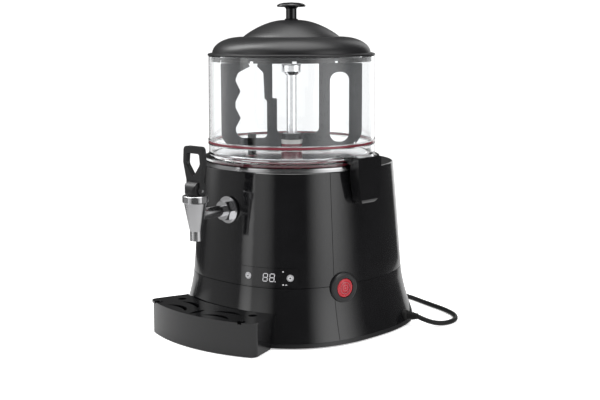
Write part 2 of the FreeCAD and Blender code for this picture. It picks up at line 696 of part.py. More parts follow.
def motor():
    top = deck_low() - BRACKET[2] - GEARBOX[1]
    can = rod(MOTOR_RADIUS, top - MOTOR_HEIGHT, top, 0, TANK_Y)
    return joined([can, rod(9, top - MOTOR_HEIGHT - 6, top - MOTOR_HEIGHT, 0, TANK_Y)])


# ---- tap ---------------------------------------------------------------------------
def tap_wall_y():
    """Front of the housing where the tap's flange would touch it first."""
    return surface_frame(-90, TAP_Z - TAP_FLANGE_RADIUS)[0].y - 0.3


def tap_gasket():
    outer = rod_y(TAP_FLANGE_RADIUS - 1.5, tap_wall_y(), tap_wall_y() + 6, 0, TAP_Z)
    bored = outer.cut(rod_y(SHANK_RADIUS + FIT_GAP, -160, -90, 0, TAP_Z))
    return bored.cut(body_solid(TAP_Z - 30, TAP_Z + 30, -SEAT))


def tap_flange():
    front = tap_wall_y() - TAP_FLANGE_THICKNESS
    disc = joined([rod_y(TAP_FLANGE_RADIUS, front + 1.3, tap_wall_y(), 0, TAP_Z),
                   rod_y(TAP_FLANGE_RADIUS - 1.6, front, front + 1.3, 0, TAP_Z)])
    return disc.cut(rod_y(SHANK_RADIUS, -160, -90, 0, TAP_Z))


def hex_prism(flats, start, end):
    radius = flats / math.sqrt(3)
    points = [vec(radius * math.cos(math.radians(a)), start, TAP_Z + radius * math.sin(math.radians(a)))
              for a in range(0, 360, 60)]
    face = Part.Face(Part.makePolygon(points + points[:1]))
    return face.extrude(vec(0, end - start, 0))


def tap_nut():
    back = tap_wall_y() - TAP_FLANGE_THICKNESS
    front = back - NUT_THICKNESS
    nut = hex_prism(NUT_FLATS, front, back)
    cone = Part.makeCone(NUT_FLATS / 2 + 0.4, NUT_FLATS / 2 + 0.4 + NUT_THICKNESS, NUT_THICKNESS,
                         vec(0, front, TAP_Z), vec(0, 1, 0))
    return nut.common(cone).cut(rod_y(SHANK_RADIUS, -160, -90, 0, TAP_Z))


def tap_lock_nut():
    front = surface_frame(-90, TAP_Z)[0].y + WALL + 1.6
    return hex_prism(NUT_FLATS - 2, front, front + 6).cut(rod_y(SHANK_RADIUS, -160, -60, 0, TAP_Z))


def tap_shank():
    rear = surface_frame(-90, TAP_Z)[0].y + WALL + 16
    solid = rod_y(SHANK_RADIUS, TAP_Y, rear, 0, TAP_Z).cut(rod(cone_radius(TAP_Z) + 0.05, TAP_Z - 20, TAP_Z + 20, 0, TAP_Y))
    return solid.cut(rod_y(SHANK_BORE, TAP_Y - 1, rear + 1, 0, TAP_Z)).cut(tap_outside(0.02))


def cone_radius(z):
    share = (z - CONE_LOW) / (COLLAR_LOW - CONE_LOW)
    return CONE_LOW_RADIUS + (CONE_TOP_RADIUS - CONE_LOW_RADIUS) * share


def tap_outside(extra):
    return turned([(0, SPOUT_LOW), (CONE_LOW_RADIUS + extra, SPOUT_LOW), (CONE_LOW_RADIUS + extra, CONE_LOW),
                   (CONE_TOP_RADIUS + extra, COLLAR_LOW), (0, COLLAR_LOW)], 0, TAP_Y)


def faceted_collar():
    sides = 8
    points = [(COLLAR_RADIUS * math.cos(math.radians(a)), TAP_Y + COLLAR_RADIUS * math.sin(math.radians(a)))
              for a in [360 / sides * (i + 0.5) for i in range(sides)]]
    drum = turned([(0, COLLAR_LOW), (COLLAR_RADIUS - 1.5, COLLAR_LOW), (COLLAR_RADIUS, COLLAR_LOW + 1.5),
                   (COLLAR_RADIUS, COLLAR_TOP - 1), (COLLAR_RADIUS - 1, COLLAR_TOP), (0, COLLAR_TOP)], 0, TAP_Y)
    wide = [(x * 1.05, TAP_Y + (y - TAP_Y) * 1.05) for x, y in points]
    return drum.common(prism(wide, COLLAR_LOW, COLLAR_TOP))


def tap_body():
    solid = joined([tap_outside(0), faceted_collar()])
    cavity = joined([rod(SPOUT_BORE, SPOUT_LOW - 1, VALVE_SEAT_Z + 1, 0, TAP_Y),
                     rod(SPOUT_BORE + VALVE_ROOM, VALVE_SEAT_Z, COLLAR_TOP + 1, 0, TAP_Y)])
    inlet = rod_y(SHANK_BORE, TAP_Y, TAP_Y + 40, 0, TAP_Z)
    return solid.cut(cavity).cut(inlet)


def tap_bonnet():
    """Black cap of the tap; its neck is round about the handle's pin, so the handle clears it."""
    r, neck = BONNET_RADIUS, BONNET_NECK
    drum = turned([(0, COLLAR_TOP), (r, COLLAR_TOP), (r + 1.2, COLLAR_TOP + 4), (r + 1.2, PIVOT_Z + neck),
                   (0, PIVOT_Z + neck)], 0, TAP_Y)
    shape = joined([Part.makeCylinder(neck, 60, vec(-30, TAP_Y, PIVOT_Z), vec(1, 0, 0)),
                    block(-30, TAP_Y - 30, COLLAR_TOP, 30, TAP_Y + 30, PIVOT_Z)])
    cheek = handle_hub_half()
    sides = [block(sign * cheek if sign > 0 else -30, TAP_Y - 30, COLLAR_TOP + 0.6,
                   30 if sign > 0 else -cheek, TAP_Y + 30, PIVOT_Z + neck + 1) for sign in (-1, 1)]
    pin_hole = Part.makeCylinder(PIVOT_RADIUS, 60, vec(-30, TAP_Y, PIVOT_Z), vec(1, 0, 0))
    rod_hole = rod(PLUNGER_RADIUS + 0.3, COLLAR_TOP - 1, plunger_top() + VALVE_LIFT + 0.6, 0, TAP_Y)
    sleeve_room = rod(7.6, COLLAR_TOP - 1, COLLAR_TOP + 1.5, 0, TAP_Y)
    return drum.common(shape).cut(group(sides)).cut(pin_hole).cut(rod_hole).cut(sleeve_room)


def plunger_top():
    return PIVOT_Z - PIVOT_RADIUS - VALVE_LIFT - 1.2


def handle_hub_half():
    """Half width of the bonnet's neck between the handle's cheeks."""
    return HANDLE_WIDTH / 2 - HANDLE_BAR - 3.6


def tap_pin():
    half = handle_hub_half() + HANDLE_CHEEK + 1.4
    return Part.makeCylinder(PIVOT_RADIUS - 0.02, 2 * half, vec(-half, TAP_Y, PIVOT_Z), vec(1, 0, 0))


def tap_handle():
    inner = handle_hub_half() + 0.3
    outer = inner + HANDLE_CHEEK
    half, top, bar = HANDLE_WIDTH / 2, HANDLE_TOP, HANDLE_BAR
    outline = [(-outer, PIVOT_Z - 4.5, 3), (outer, PIVOT_Z - 4.5, 3), (outer, PIVOT_Z + 14, 6), (half, top - 22, 12),
               (half - 1.5, top, 6), (-half + 1.5, top, 6), (-half, top - 22, 12), (-outer, PIVOT_Z + 14, 6)]
    opening = [(0, PIVOT_Z + BONNET_NECK + 5.5, 3), (half - bar, top - 24, 8), (half - bar - 1.5, top - bar - 4, 3),
               (-half + bar + 1.5, top - bar - 4, 3), (-half + bar, top - 24, 8)]
    plate = flat_xz(outline, HANDLE_DEPTH)
    plate.translate(vec(0, TAP_Y, 0))
    hole = flat_xz(opening, 40)
    hole.translate(vec(0, TAP_Y, 0))
    hub = joined([Part.makeCylinder(HANDLE_HUB_RADIUS, 2 * outer, vec(-outer, TAP_Y, PIVOT_Z), vec(1, 0, 0)), plate])
    room = joined([block(-inner, TAP_Y - 20, PIVOT_Z - 10, inner, TAP_Y + 20, PIVOT_Z + 4),
                   Part.makeCylinder(BONNET_NECK + 0.6, 2 * inner, vec(-inner, TAP_Y, PIVOT_Z), vec(1, 0, 0))])
    bore = Part.makeCylinder(PIVOT_RADIUS + 0.05, 60, vec(-30, TAP_Y, PIVOT_Z), vec(1, 0, 0))
    return hub.cut(hole).cut(room).cut(bore)


def tap_plunger():
    """Valve head that closes the spout, on the stem that the handle lifts."""
    low = VALVE_SEAT_Z + 0.1
    head = low + VALVE_HEAD
    r = SPOUT_BORE + VALVE_ROOM - 0.6
    return turned([(0, low), (r, low), (r, head), (PLUNGER_RADIUS, head), (PLUNGER_RADIUS, plunger_top()),
                   (0, plunger_top())], 0, TAP_Y)


def tap_bellows():
    """Pleated rubber sleeve that pushes the valve head shut and seals the stem."""
    low, high = VALVE_SEAT_Z + 0.1 + VALVE_HEAD, COLLAR_TOP + 1.4
    pleats, skin, inner = 6, 0.9, PLUNGER_RADIUS + 0.7
    step = (high - low) / (2 * pleats)
    outside = [(inner + skin + (1.6 if i % 2 else 0.0), low + i * step) for i in range(2 * pleats + 1)]
    inside = [(r - skin, z) for r, z in reversed(outside)]
    return turned(outside + inside, 0, TAP_Y)


# ---- drip tray -----------------------------------------------------------------------
def drip_tray():
    body = body_solid(-1, TRAY_HIGH + 5, -FIT_GAP)
    inner_body = body_solid(-1, TRAY_HIGH + 5, -FIT_GAP - TRAY_WALL)
    outer = tray_solid(0, TRAY_LOW, TRAY_HIGH, 10).cut(body)
    cavity = tray_solid(-TRAY_WALL, TRAY_LOW + TRAY_WALL, TRAY_HIGH + 1, 8).cut(inner_body)
    hooks = group([part.cut(inner_body_core()) for part in tongue(0).Solids])
    return joined([outer.cut(cavity)] + hooks.Solids)


def inner_body_core():
    """Space in front of the tray's rear wall, which the hooks don't enter."""
    wall = body_solid(-1, TRAY_HIGH + 5, -FIT_GAP - 0.5)
    return block(-200, -260, -2, 200, 60, TRAY_HIGH + 6).cut(wall)


def leaf(tip_a, tip_b, bow, low, high):
    """Leaf-shaped slot between two tips, bowed towards the front."""
    ax, ay = tip_a
    bx, by = tip_b
    mx, my = (ax + bx) / 2, (ay + by) / 2
    length = math.hypot(bx - ax, by - ay)
    nx, ny = (by - ay) / length, -(bx - ax) / length
    if ny < 0:
        nx, ny = -nx, -ny
    near = Part.Arc(vec(ax, ay), vec(mx + nx * (bow - LEAF_HALF), my + ny * (bow - LEAF_HALF)), vec(bx, by))
    far = Part.Arc(vec(bx, by), vec(mx + nx * (bow + LEAF_HALF), my + ny * (bow + LEAF_HALF)), vec(ax, ay))
    return prism(Part.Wire([near.toShape(), far.toShape()]), low, high)


def drip_grille():
    low, high = TRAY_HIGH, TRAY_HIGH + GRILLE_THICKNESS
    plate = tray_solid(GRILLE_LIP, low, high, 11).cut(body_solid(low - 5, high + 5, -GRILLE_REAR_GAP))
    cuts = []
    for side in (-1, 1):
        cuts += [rod(r, low - 1, high + 1, side * x, y) for x, y, r in ROUND_HOLES]
        for (ax, ay), (bx, by), bow in LEAF_SLOTS:
            cuts.append(leaf((side * ax, ay), (side * bx, by), bow, low - 1, high + 1))
    front, rear, half = CENTRE_SLOT
    almond = Part.Wire([Part.Arc(vec(0, front), vec(side * half, (front + rear) / 2), vec(0, rear)).toShape()
                        for side in (1, -1)])
    cuts.append(prism(almond, low - 1, high + 1))
    return plate.cut(group(cuts))


# ---- controls --------------------------------------------------------------------------
def button_frame(side):
    return surface_frame(PANEL_ANGLE + side * BUTTON_SPREAD, (PANEL_LOW + PANEL_HIGH) / 2)


def button_bores(radius, back):
    return group([placed(Part.makeCylinder(radius, 30 - back, vec(0, 0, back)), *button_frame(side))
                  for side in (-1, 1)])


def display_panel():
    skin = body_solid(PANEL_LOW - 10, PANEL_HIGH + 10, -PANEL_PROUD)
    skin = skin.cut(body_solid(PANEL_LOW - 12, PANEL_HIGH + 12, PANEL_SKIN))
    return skin.common(panel_prism()).cut(button_bores(BUTTON_RADIUS + BUTTON_PLAY, -20))


def display_module():
    point, normal = surface_frame(PANEL_ANGLE, (PANEL_LOW + PANEL_HIGH) / 2)
    half, half_height = PANEL_WIDTH / 2 - 3, (PANEL_HIGH - PANEL_LOW) / 2 - 3
    carrier = placed(block(-half, -half_height, MODULE_BACK - 6, half, half_height, 5), point, normal)
    carrier = carrier.common(body_solid(PANEL_LOW - 12, PANEL_HIGH + 12, PANEL_SKIN + SEAT))
    carrier = carrier.cut(button_bores(BUTTON_RADIUS + BUTTON_PLAY, -30))
    counterbores = group([placed(Part.makeCylinder(BUTTON_RADIUS + 1.6, 30, vec(0, 0, BUTTON_BACK + 1.4 - 30)),
                                 *button_frame(side)) for side in (-1, 1)])
    return carrier.cut(counterbores)


def control_board():
    point, normal = surface_frame(PANEL_ANGLE, (PANEL_LOW + PANEL_HIGH) / 2)
    back = MODULE_BACK - 6
    half, half_height = PANEL_WIDTH / 2 + 4, (PANEL_HIGH - PANEL_LOW) / 2 - 2
    board = placed(block(-half + 8, -half_height, back - BOARD_THICKNESS, half - 8, half_height, back), point, normal)
    stems = []
    for side in (-1, 1):
        stem = placed(Part.makeCylinder(2.5, 40, vec(0, 0, BUTTON_BACK - 1.3 - 40)), *button_frame(side))
        slab = placed(block(-100, -30, back - BOARD_THICKNESS, 100, 30, 20), point, normal)
        stems.append(stem.common(slab))
    return joined([board] + stems)


def panel_button(side):
    r = BUTTON_RADIUS
    profile = [(0, BUTTON_BACK), (r + 1.2, BUTTON_BACK), (r + 1.2, BUTTON_BACK + 1.2), (r, BUTTON_BACK + 1.2),
               (r, BUTTON_PROUD - 0.5), (r - 0.5, BUTTON_PROUD), (0, BUTTON_PROUD)]
    return placed(turned(profile, 0, 0), *button_frame(side))


def switch_bezel():
    frame = surface_frame(SWITCH_ANGLE, SWITCH_Z)
    r = BEZEL_RADIUS
    flange = placed(turned([(0, -8), (r, -8), (r, BEZEL_PROUD - 2.5), (r - 1, BEZEL_PROUD - 0.8),
                            (r - 3, BEZEL_PROUD), (0, BEZEL_PROUD)], 0, 0), *frame)
    flange = flange.cut(body_solid(PLINTH_TOP, BELT_Z, -SEAT)).cut(body_solid(BELT_Z - SEAM_GAP, DECK_Z, -SEAT))
    barrel = placed(Part.makeCylinder(BARREL_RADIUS, -BARREL_BACK + 1.5, vec(0, 0, BARREL_BACK)), *frame)
    bore = placed(Part.makeCylinder(POWER_RADIUS + POWER_PLAY, 60, vec(0, 0, -30)), *frame)
    return joined([flange, barrel]).cut(bore)


def power_button():
    r = POWER_RADIUS
    profile = [(0, POWER_BACK), (r, POWER_BACK), (r, POWER_PROUD - 2.5), (r - 1, POWER_PROUD - 1.2),
               (r - 4, POWER_PROUD - 0.3), (0, POWER_PROUD)]
    return placed(turned(profile, 0, 0), *surface_frame(SWITCH_ANGLE, SWITCH_Z))


def switch_body():
    r = BARREL_RADIUS
    profile = [(0, SWITCH_BODY_BACK), (r - 3, SWITCH_BODY_BACK), (r - 3, BARREL_BACK - 6), (r, BARREL_BACK - 5),
               (r, BARREL_BACK), (6, BARREL_BACK), (6, BARREL_BACK + 2.5), (0, BARREL_BACK + 2.5)]
    case = placed(turned(profile, 0, 0), *surface_frame(SWITCH_ANGLE, SWITCH_Z))
    tabs = [placed(block(x - 0.4, -3, SWITCH_BODY_BACK - 9, x + 0.4, 3, SWITCH_BODY_BACK + 1),
                   *surface_frame(SWITCH_ANGLE, SWITCH_Z)) for x in (-5, 5)]
    return joined([case] + tabs)


# ---- latch -----------------------------------------------------------------------------
def along_y(radius, half, x, z):
    return Part.makeCylinder(radius, 2 * half, vec(x, LATCH_Y - half, z), vec(0, 1, 0))


def latch_bracket():
    x, z = LATCH_PIVOT
    half, radius = LATCH_EAR
    arm = block(x - 30, LATCH_Y - half, z - LATCH_ARM, x, LATCH_Y + half, z + LATCH_ARM)
    plate = block(x - 30, LATCH_Y - half - 4, z - radius - 2, x, LATCH_Y + half + 4, z + radius + 2)
    plate = plate.common(body_solid(z - 30, z + 30, -1.0))
    bracket = joined([arm, along_y(radius, half, x, z), plate]).cut(body_solid(z - 30, z + 30, -SEAT))
    return bracket.cut(along_y(LATCH_PIN_RADIUS, 40, x, z))


def latch_pin():
    x, z = LATCH_PIVOT
    return along_y(LATCH_PIN_RADIUS - 0.02, LATCH_HALF - 8, x, z)


def latch_lever():
    """Tongue-shaped lever, broad at its hooked top and rounded at the pin."""
    x, z = LATCH_PIVOT
    half, top, low = LATCH_HALF, LATCH_TOP, z - LATCH_KNUCKLE
    outline = [(-half, top, 3), (half, top, 3), (half, z + 30, 20), (half - 7, low, 14), (7 - half, low, 14),
               (-half, z + 30, 20)]
    tongue_part = flat_xz(outline, 80)
    tongue_part.rotate(vec(0, 0, 0), vec(0, 0, 1), 90)
    tongue_part.translate(vec(x, LATCH_Y, 0))
    out, knuckle = LATCH_OUT, LATCH_KNUCKLE
    side = Part.Face(Part.makePolygon([vec(px, LATCH_Y - 60, pz) for px, pz in (
        (x - knuckle, z), (x - knuckle, top - 9), (FLANGE_RADIUS - 9, top - 9), (FLANGE_RADIUS - 9, top),
        (out - 1.5, top), (out, top - 1.5), (x + knuckle, z), (x - knuckle, z))]))
    slab = side.extrude(vec(0, 120, 0)).fuse(along_y(knuckle, 60, x, z))
    lever = tongue_part.common(slab)
    tank_room = turned([(0, PLATE_FLANGE_TOP - 8)] + [(FLANGE_RADIUS + LATCH_GAP, PLATE_FLANGE_TOP - 8)]
                       + skirt_outline(LATCH_GAP)[1:] + [(0, SKIRT_TOP + LATCH_GAP)])
    ear_half, ear_radius = LATCH_EAR
    slot = block(x - 40, LATCH_Y - ear_half - LATCH_GAP, low - 1, x + 0.1, LATCH_Y + ear_half + LATCH_GAP,
                 z + ear_radius + 2.5)
    slot = slot.fuse(along_y(ear_radius + 0.8, ear_half + LATCH_GAP, x, z))
    slot = slot.fuse(block(x - 40, LATCH_Y - ear_half - LATCH_GAP, low - 1, x + LATCH_ARM + LATCH_GAP,
                           LATCH_Y + ear_half + LATCH_GAP, z))
    plate_room = block(x - 40, LATCH_Y - ear_half - 4 - LATCH_GAP, low - 1, x - 7,
                       LATCH_Y + ear_half + 4 + LATCH_GAP, z + ear_radius + 3)
    lever = lever.cut(tank_room).cut(slot).cut(plate_room)
    return lever.cut(along_y(LATCH_PIN_RADIUS + 0.05, LATCH_HALF - 7.5, x, z))


# ---- cord ------------------------------------------------------------------------------
def cord_exit():
    """Where the cord leaves the tip of its strain relief, and the direction it leaves in."""
    point, normal = surface_frame(CORD_ANGLE, CORD_Z)
    return point.add(normal * RELIEF_LENGTH), normal


def cord_route():
    """Points of the free cord, from the strain relief to the coil, chosen by hand."""
    start, normal = cord_exit()
    return [start, start.add(normal * 17 + vec(0, 0, -6.5)), vec(192, 129, 3.6), vec(194, 157, 3.6),
            vec(176, 183, 3.6), vec(143, 200, 3.6), vec(100, 213, 3.6), vec(54, 230, 3.6), vec(4, 236, 3.6),
            vec(-44, 226, 3.6), vec(COIL_PLACE[0], COIL_PLACE[1] - COIL_RADIUS, 3.6)]


def strain_relief():
    point, normal = surface_frame(CORD_ANGLE, CORD_Z)
    r, tip = RELIEF_RADIUS, CORD_DIAMETER / 2 + 0.6
    boot = turned([(0, -8), (r, -8), (r, 4), (r - 1, 5), (tip, RELIEF_LENGTH), (0, RELIEF_LENGTH)], 0, 0)
    boot = placed(boot, point, normal).cut(body_solid(FOOT_GAP, 40, -SEAT))
    neck = placed(Part.makeCylinder(RELIEF_RADIUS - 2.1, 14, vec(0, 0, -12)), point, normal)
    return joined([boot, neck])


def power_cord():
    """Round tube along the route: straight runs joined by tangent arcs."""
    route = cord_route()
    edges = []
    here = route[0]
    for before, corner, after in zip(route, route[1:], route[2:]):
        back, ahead = before.sub(corner), after.sub(corner)
        shorter = min(back.Length, ahead.Length)
        turn = math.pi - back.getAngle(ahead)
        radius = 0.45 * shorter / math.tan(turn / 2)
        print("cord bend radius", round(radius, 1))
        back.normalize()
        ahead.normalize()
        reach = 0.45 * shorter
        first, last = corner.add(back * reach), corner.add(ahead * reach)
        inward = back.add(ahead).normalize()
        middle = corner.add(inward * (radius / math.cos(turn / 2) - radius))
        edges.append(Part.LineSegment(here, first).toShape())
        edges.append(Part.Arc(first, middle, last).toShape())
        here = last
    edges.append(Part.LineSegment(here, route[-1]).toShape())
    path = Part.Wire(edges)
    section = Part.Wire([Part.makeCircle(CORD_DIAMETER / 2, route[0], route[1].sub(route[0]))])
    tube = path.makePipeShell([section], True, True)
    print("cord tube length", round(path.Length, 1), "volume share",
          round(tube.Volume / (math.pi * CORD_DIAMETER ** 2 / 4 * path.Length), 4))
    return tube


def cord_coil():
    x, y = COIL_PLACE
    outer, inner = COIL_RADIUS + COIL_HALF_WIDTH, COIL_RADIUS - COIL_HALF_WIDTH
    low, top, round_off = 0.1, COIL_HEIGHT, 2.5
    return turned([(inner, low + round_off), (inner + round_off, low), (outer - round_off, low),
                   (outer, low + round_off), (outer, top - round_off), (outer - round_off, top),
                   (inner + round_off, top), (inner, top - round_off)], x, y)


def plug():
    """Moulded plug with two round pins, lying on the coil."""
    x, y = COIL_PLACE
    z = COIL_HEIGHT + PLUG_HALF_HEIGHT
    grip = turned([(0, 0), (PLUG_RADIUS, 0), (PLUG_RADIUS, 12), (PLUG_RADIUS - 2.5, 22), (5, PLUG_LENGTH),
                   (0, PLUG_LENGTH)], 0, 0)
    flat = block(-PLUG_RADIUS, -PLUG_HALF_HEIGHT, -1, PLUG_RADIUS, PLUG_HALF_HEIGHT, PLUG_LENGTH + 1)
    pins = [rod(2.4, -19, 1, side * 6.0, 0) for side in (-1, 1)]
    shape = joined([grip.common(flat)] + pins)
    shape.rotate(vec(0, 0, 0), vec(1, 0, 0), 90)
    shape.rotate(vec(0, 0, 0), vec(0, 0, 1), 90)
    shape.translate(vec(x - PLUG_LENGTH / 2, y + COIL_RADIUS, z))
    return shape


def housing_nodes():
    wedge = front_wedge()
    lower, upper = lower_shell(), upper_shell()
    return {
        "base_plate": base_plate(), "rubber_feet": rubber_feet(), "base_screws": base_screws(),
        "lower_housing_front": lower.common(wedge), "lower_housing_rear": lower.cut(wedge),
        "upper_housing_front": upper.common(wedge), "upper_housing_rear": upper.cut(wedge),
        "top_deck": top_deck(),
    }


def all_nodes():
    nodes = housing_nodes()
    for make in (plate_rim, heating_plate, heating_element, thermostat, tank, tank_skirt, lower_seal, upper_seal,
                 outlet_seal, outlet_elbow, lid, knob_washer, lid_knob, knob_screw, stirrer_frame, stirrer_wiper,
                 stirrer_tube, stirrer_cap, hub_sleeve, hub_cap, drive_shaft, motor_bracket, gearbox, motor,
                 tap_gasket, tap_flange, tap_nut, tap_lock_nut, tap_shank, tap_body, tap_bonnet, tap_pin, tap_handle,
                 tap_plunger, tap_bellows, drip_tray, drip_grille, display_panel, display_module, control_board,
                 switch_bezel, power_button, switch_body, latch_bracket, latch_pin, latch_lever, strain_relief,
                 power_cord, cord_coil, plug):
        nodes[make.__name__] = make()
    nodes["button_down"] = panel_button(-1)
    nodes["button_up"] = panel_button(1)
    return nodes


def write_nodes():
    os.makedirs("parts", exist_ok=True)
    for name, shape in all_nodes().items():
        solids = shape.Solids
        print(name, len(solids), "solids", round(shape.Volume), "mm3", "valid" if shape.isValid() else "INVALID")
        (solids[0] if len(solids) == 1 else Part.makeCompound(solids)).exportStep("parts/" + name + ".step")


write_nodes()
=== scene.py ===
import json
import math

import bmesh
import bpy
from bpy.props import FloatProperty, FloatVectorProperty, IntProperty, PointerProperty
from mathutils import Matrix, Vector

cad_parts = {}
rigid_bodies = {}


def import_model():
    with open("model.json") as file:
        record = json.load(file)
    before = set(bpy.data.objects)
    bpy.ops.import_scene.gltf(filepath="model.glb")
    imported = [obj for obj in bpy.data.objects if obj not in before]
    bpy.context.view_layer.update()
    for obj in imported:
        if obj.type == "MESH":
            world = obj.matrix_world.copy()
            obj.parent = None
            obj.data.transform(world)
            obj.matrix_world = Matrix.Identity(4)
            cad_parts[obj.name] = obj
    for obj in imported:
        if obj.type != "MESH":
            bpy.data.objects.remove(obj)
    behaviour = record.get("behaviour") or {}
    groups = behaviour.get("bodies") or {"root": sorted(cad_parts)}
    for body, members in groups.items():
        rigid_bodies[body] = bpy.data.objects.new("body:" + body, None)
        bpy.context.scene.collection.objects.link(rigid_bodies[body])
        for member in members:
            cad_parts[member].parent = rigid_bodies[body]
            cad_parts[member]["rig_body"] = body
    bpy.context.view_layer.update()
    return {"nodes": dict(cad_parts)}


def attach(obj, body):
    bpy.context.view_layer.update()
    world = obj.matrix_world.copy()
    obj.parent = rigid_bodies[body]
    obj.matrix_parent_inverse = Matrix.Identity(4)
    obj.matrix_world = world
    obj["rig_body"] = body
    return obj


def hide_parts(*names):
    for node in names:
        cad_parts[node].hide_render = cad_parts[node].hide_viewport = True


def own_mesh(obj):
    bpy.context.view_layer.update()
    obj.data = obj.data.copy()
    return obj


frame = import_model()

bl_info = {
    "name": "Cheese Sauce Dispenser",
    "version": (1, 0, 0),
    "blender": (4, 5, 0),
    "location": "3D View > Sidebar > Dispenser",
    "description": "Finishes and detailed pieces for a countertop dispenser of warm sauce",
    "category": "Object",
}

MM = 0.001
TANK_AXIS = (0.0, 10.0)          # plan position of tank, lid, stirrer and drive, in mm
TAP_AXIS = (0.0, -182.0)
PLAN_CENTRE_Y = 26.0
PANEL_ANGLE, PANEL_Z = -60.4, 95.6
BUTTON_SPREAD = 12.3
SWITCH_ANGLE, SWITCH_Z = -16.8, 77.0
CORD_ANGLE, CORD_Z = 30.5, 15.0
# The last floor value is the share by which the floor is painted darker as seen in reflections.
FLOOR_NEAR, FLOOR_FAR, FLOOR_GLOW, FLOOR_REFLECTION_SHADE = 0.30, 0.95, 0.45, 0.6


# ---- settings ----------------------------------------------------------------------
def colour(name, description, default):
    return FloatVectorProperty(name=name, description=description, subtype="COLOR", size=3, min=0.0, max=1.0,
                               default=default)


class DispenserFinish(bpy.types.PropertyGroup):
    """Colours a user would change."""
    housing: colour("Housing", "Colour of the polished black mouldings", (0.0022, 0.0022, 0.0025))
    lid: colour("Lid", "Colour of the satin lid", (0.0055, 0.0055, 0.006))
    rubber: colour("Rubber", "Colour of handle, wiper and feet", (0.0035, 0.0035, 0.0035))
    tank: colour("Tank", "Tint of the clear mouldings", (0.955, 0.965, 0.97))
    seal: colour("Seal", "Colour of the silicone seals", (0.17, 0.010, 0.022))
    steel: colour("Steel", "Colour of the brushed steel", (0.56, 0.56, 0.57))
    stirrer: colour("Stirrer", "Colour of the stirrer's moulded frame", (0.045, 0.047, 0.052))
    power: colour("Power button", "Colour of the power button's lens", (0.36, 0.012, 0.022))
    # The figures' colour also sets the pale glow painted on them.
    digits: colour("Digits", "Colour of the display's figures", (0.36, 0.355, 0.37))
    cord: colour("Cord", "Colour of the mains cord", (0.006, 0.006, 0.006))
    floor: colour("Floor", "Colour of the studio floor", (0.93, 0.93, 0.93))


class DispenserSizes(bpy.types.PropertyGroup):
    """Sizes a user would change."""
    cord_diameter: FloatProperty(name="Cord diameter", description="Diameter of the round mains cord",
                                 default=0.007, min=0.004, max=0.012, unit="LENGTH")
    coil_radius: FloatProperty(name="Coil radius", description="Radius of the put-away cord's middle turn",
                               default=0.0385, min=0.03, max=0.06, unit="LENGTH")
    digit_height: FloatProperty(name="Figure height", description="Height of the figures on the display",
                                default=0.0105, min=0.004, max=0.016, unit="LENGTH")
    lathe_steps: IntProperty(name="Lathe steps", description="Facets round each turned piece",
                             default=144, min=24, max=360)
    light_power: FloatProperty(name="Light", description="Strength of all studio lights together",
                               default=1.0, min=0.0, max=10.0, subtype="FACTOR")


# ---- shader nodes ------------------------------------------------------------------
class Number:
    """A number that varies over a surface; sums and products of it add Math nodes."""

    def __init__(self, finish, socket):
        self.finish, self.socket = finish, socket

    def combine(self, operation, first, second):
        node = self.finish.node("ShaderNodeMath", {"operation": operation}, {0: first, 1: second})
        return Number(self.finish, node.outputs[0])

    def __add__(self, other):
        return self.combine("ADD", self, other)

    def __rsub__(self, other):
        return self.combine("SUBTRACT", other, self)

    def __mul__(self, other):
        return self.combine("MULTIPLY", self, other)

    __radd__ = __add__
    __rmul__ = __mul__

    def power(self, exponent):
        return self.combine("POWER", self, exponent)


class Nodes:
    """A node tree with short ways to add nodes and to feed its shader."""

    def __init__(self, tree, shader):
        self.tree, self.shader = tree, tree.nodes[shader]

    def node(self, kind, settings=None, sockets=None):
        """Any node: its type, the settings to make first, and its sockets' values or links."""
        node = self.tree.nodes.new(kind)
        for key, value in (settings or {}).items():
            setattr(node, key, value)
        for key, value in (sockets or {}).items():
            self.feed(node.inputs[key], value)
        return node

    def feed(self, target, value):
        value = value.socket if isinstance(value, Number) else value
        if isinstance(value, bpy.types.NodeSocket):
            self.tree.links.new(value, target)
        else:
            target.default_value = value

    def into(self, socket, value):
        """Feeds one socket of the shader."""
        self.feed(self.shader.inputs[socket], value)

    def split(self, vector):
        """The three parts of a vector."""
        node = self.node("ShaderNodeSeparateXYZ", None, {"Vector": vector})
        return [Number(self, part) for part in node.outputs]

    def blend(self, share, first, second):
        """Colour between two colours."""
        node = self.node("ShaderNodeMix", {"data_type": "RGBA"},
                         {"Factor": share, "A": self.shade(first), "B": self.shade(second)})
        return node.outputs["Result"]

    def shade(self, value):
        """A colour for a socket: a link as it is, or three numbers with full opacity."""
        return value if isinstance(value, bpy.types.NodeSocket) else (*value, 1.0)


class Finish(Nodes):
    """A material and the one shader in it."""

    def __init__(self, name, constants):
        self.material = bpy.data.materials.new(name)
        self.material.use_nodes = True
        super().__init__(self.material.node_tree, "Principled BSDF")
        for socket, value in constants.items():
            self.shader.inputs[socket].default_value = value
        self.place = self.node("ShaderNodeTexCoord").outputs["Object"]

    def stretched(self, scale):
        return self.node("ShaderNodeMapping", None, {"Vector": self.place, "Scale": scale}).outputs[0]

    def noise(self, scale, detail=2.0, place=None):
        node = self.node("ShaderNodeTexNoise", None,
                         {"Vector": place or self.place, "Scale": scale, "Detail": detail})
        return Number(self, node.outputs["Fac"])

    def bump(self, height, strength, distance):
        node = self.node("ShaderNodeBump", None,
                         {"Height": height, "Strength": strength, "Distance": distance})
        self.into("Normal", node.outputs[0])


def lighter(shade, factor):
    return tuple(min(1.0, part * factor) for part in shade)


def polished_black(name, shade):
    """High-gloss moulding: a trace of orange peel, and dust that dulls it in patches."""
    finish = Finish(name, {"IOR": 1.5, "Coat Weight": 0.35, "Coat Roughness": 0.04})
    dust = finish.noise(26.0, 5.0)
    fine = finish.noise(420.0, 3.0)
    finish.into("Base Color", finish.blend(dust, shade, lighter(shade, 2.2)))
    finish.into("Roughness", 0.09 + 0.06 * dust + 0.03 * fine)
    finish.bump(finish.noise(90.0, 2.0), 0.02, 0.0002)
    return finish.material


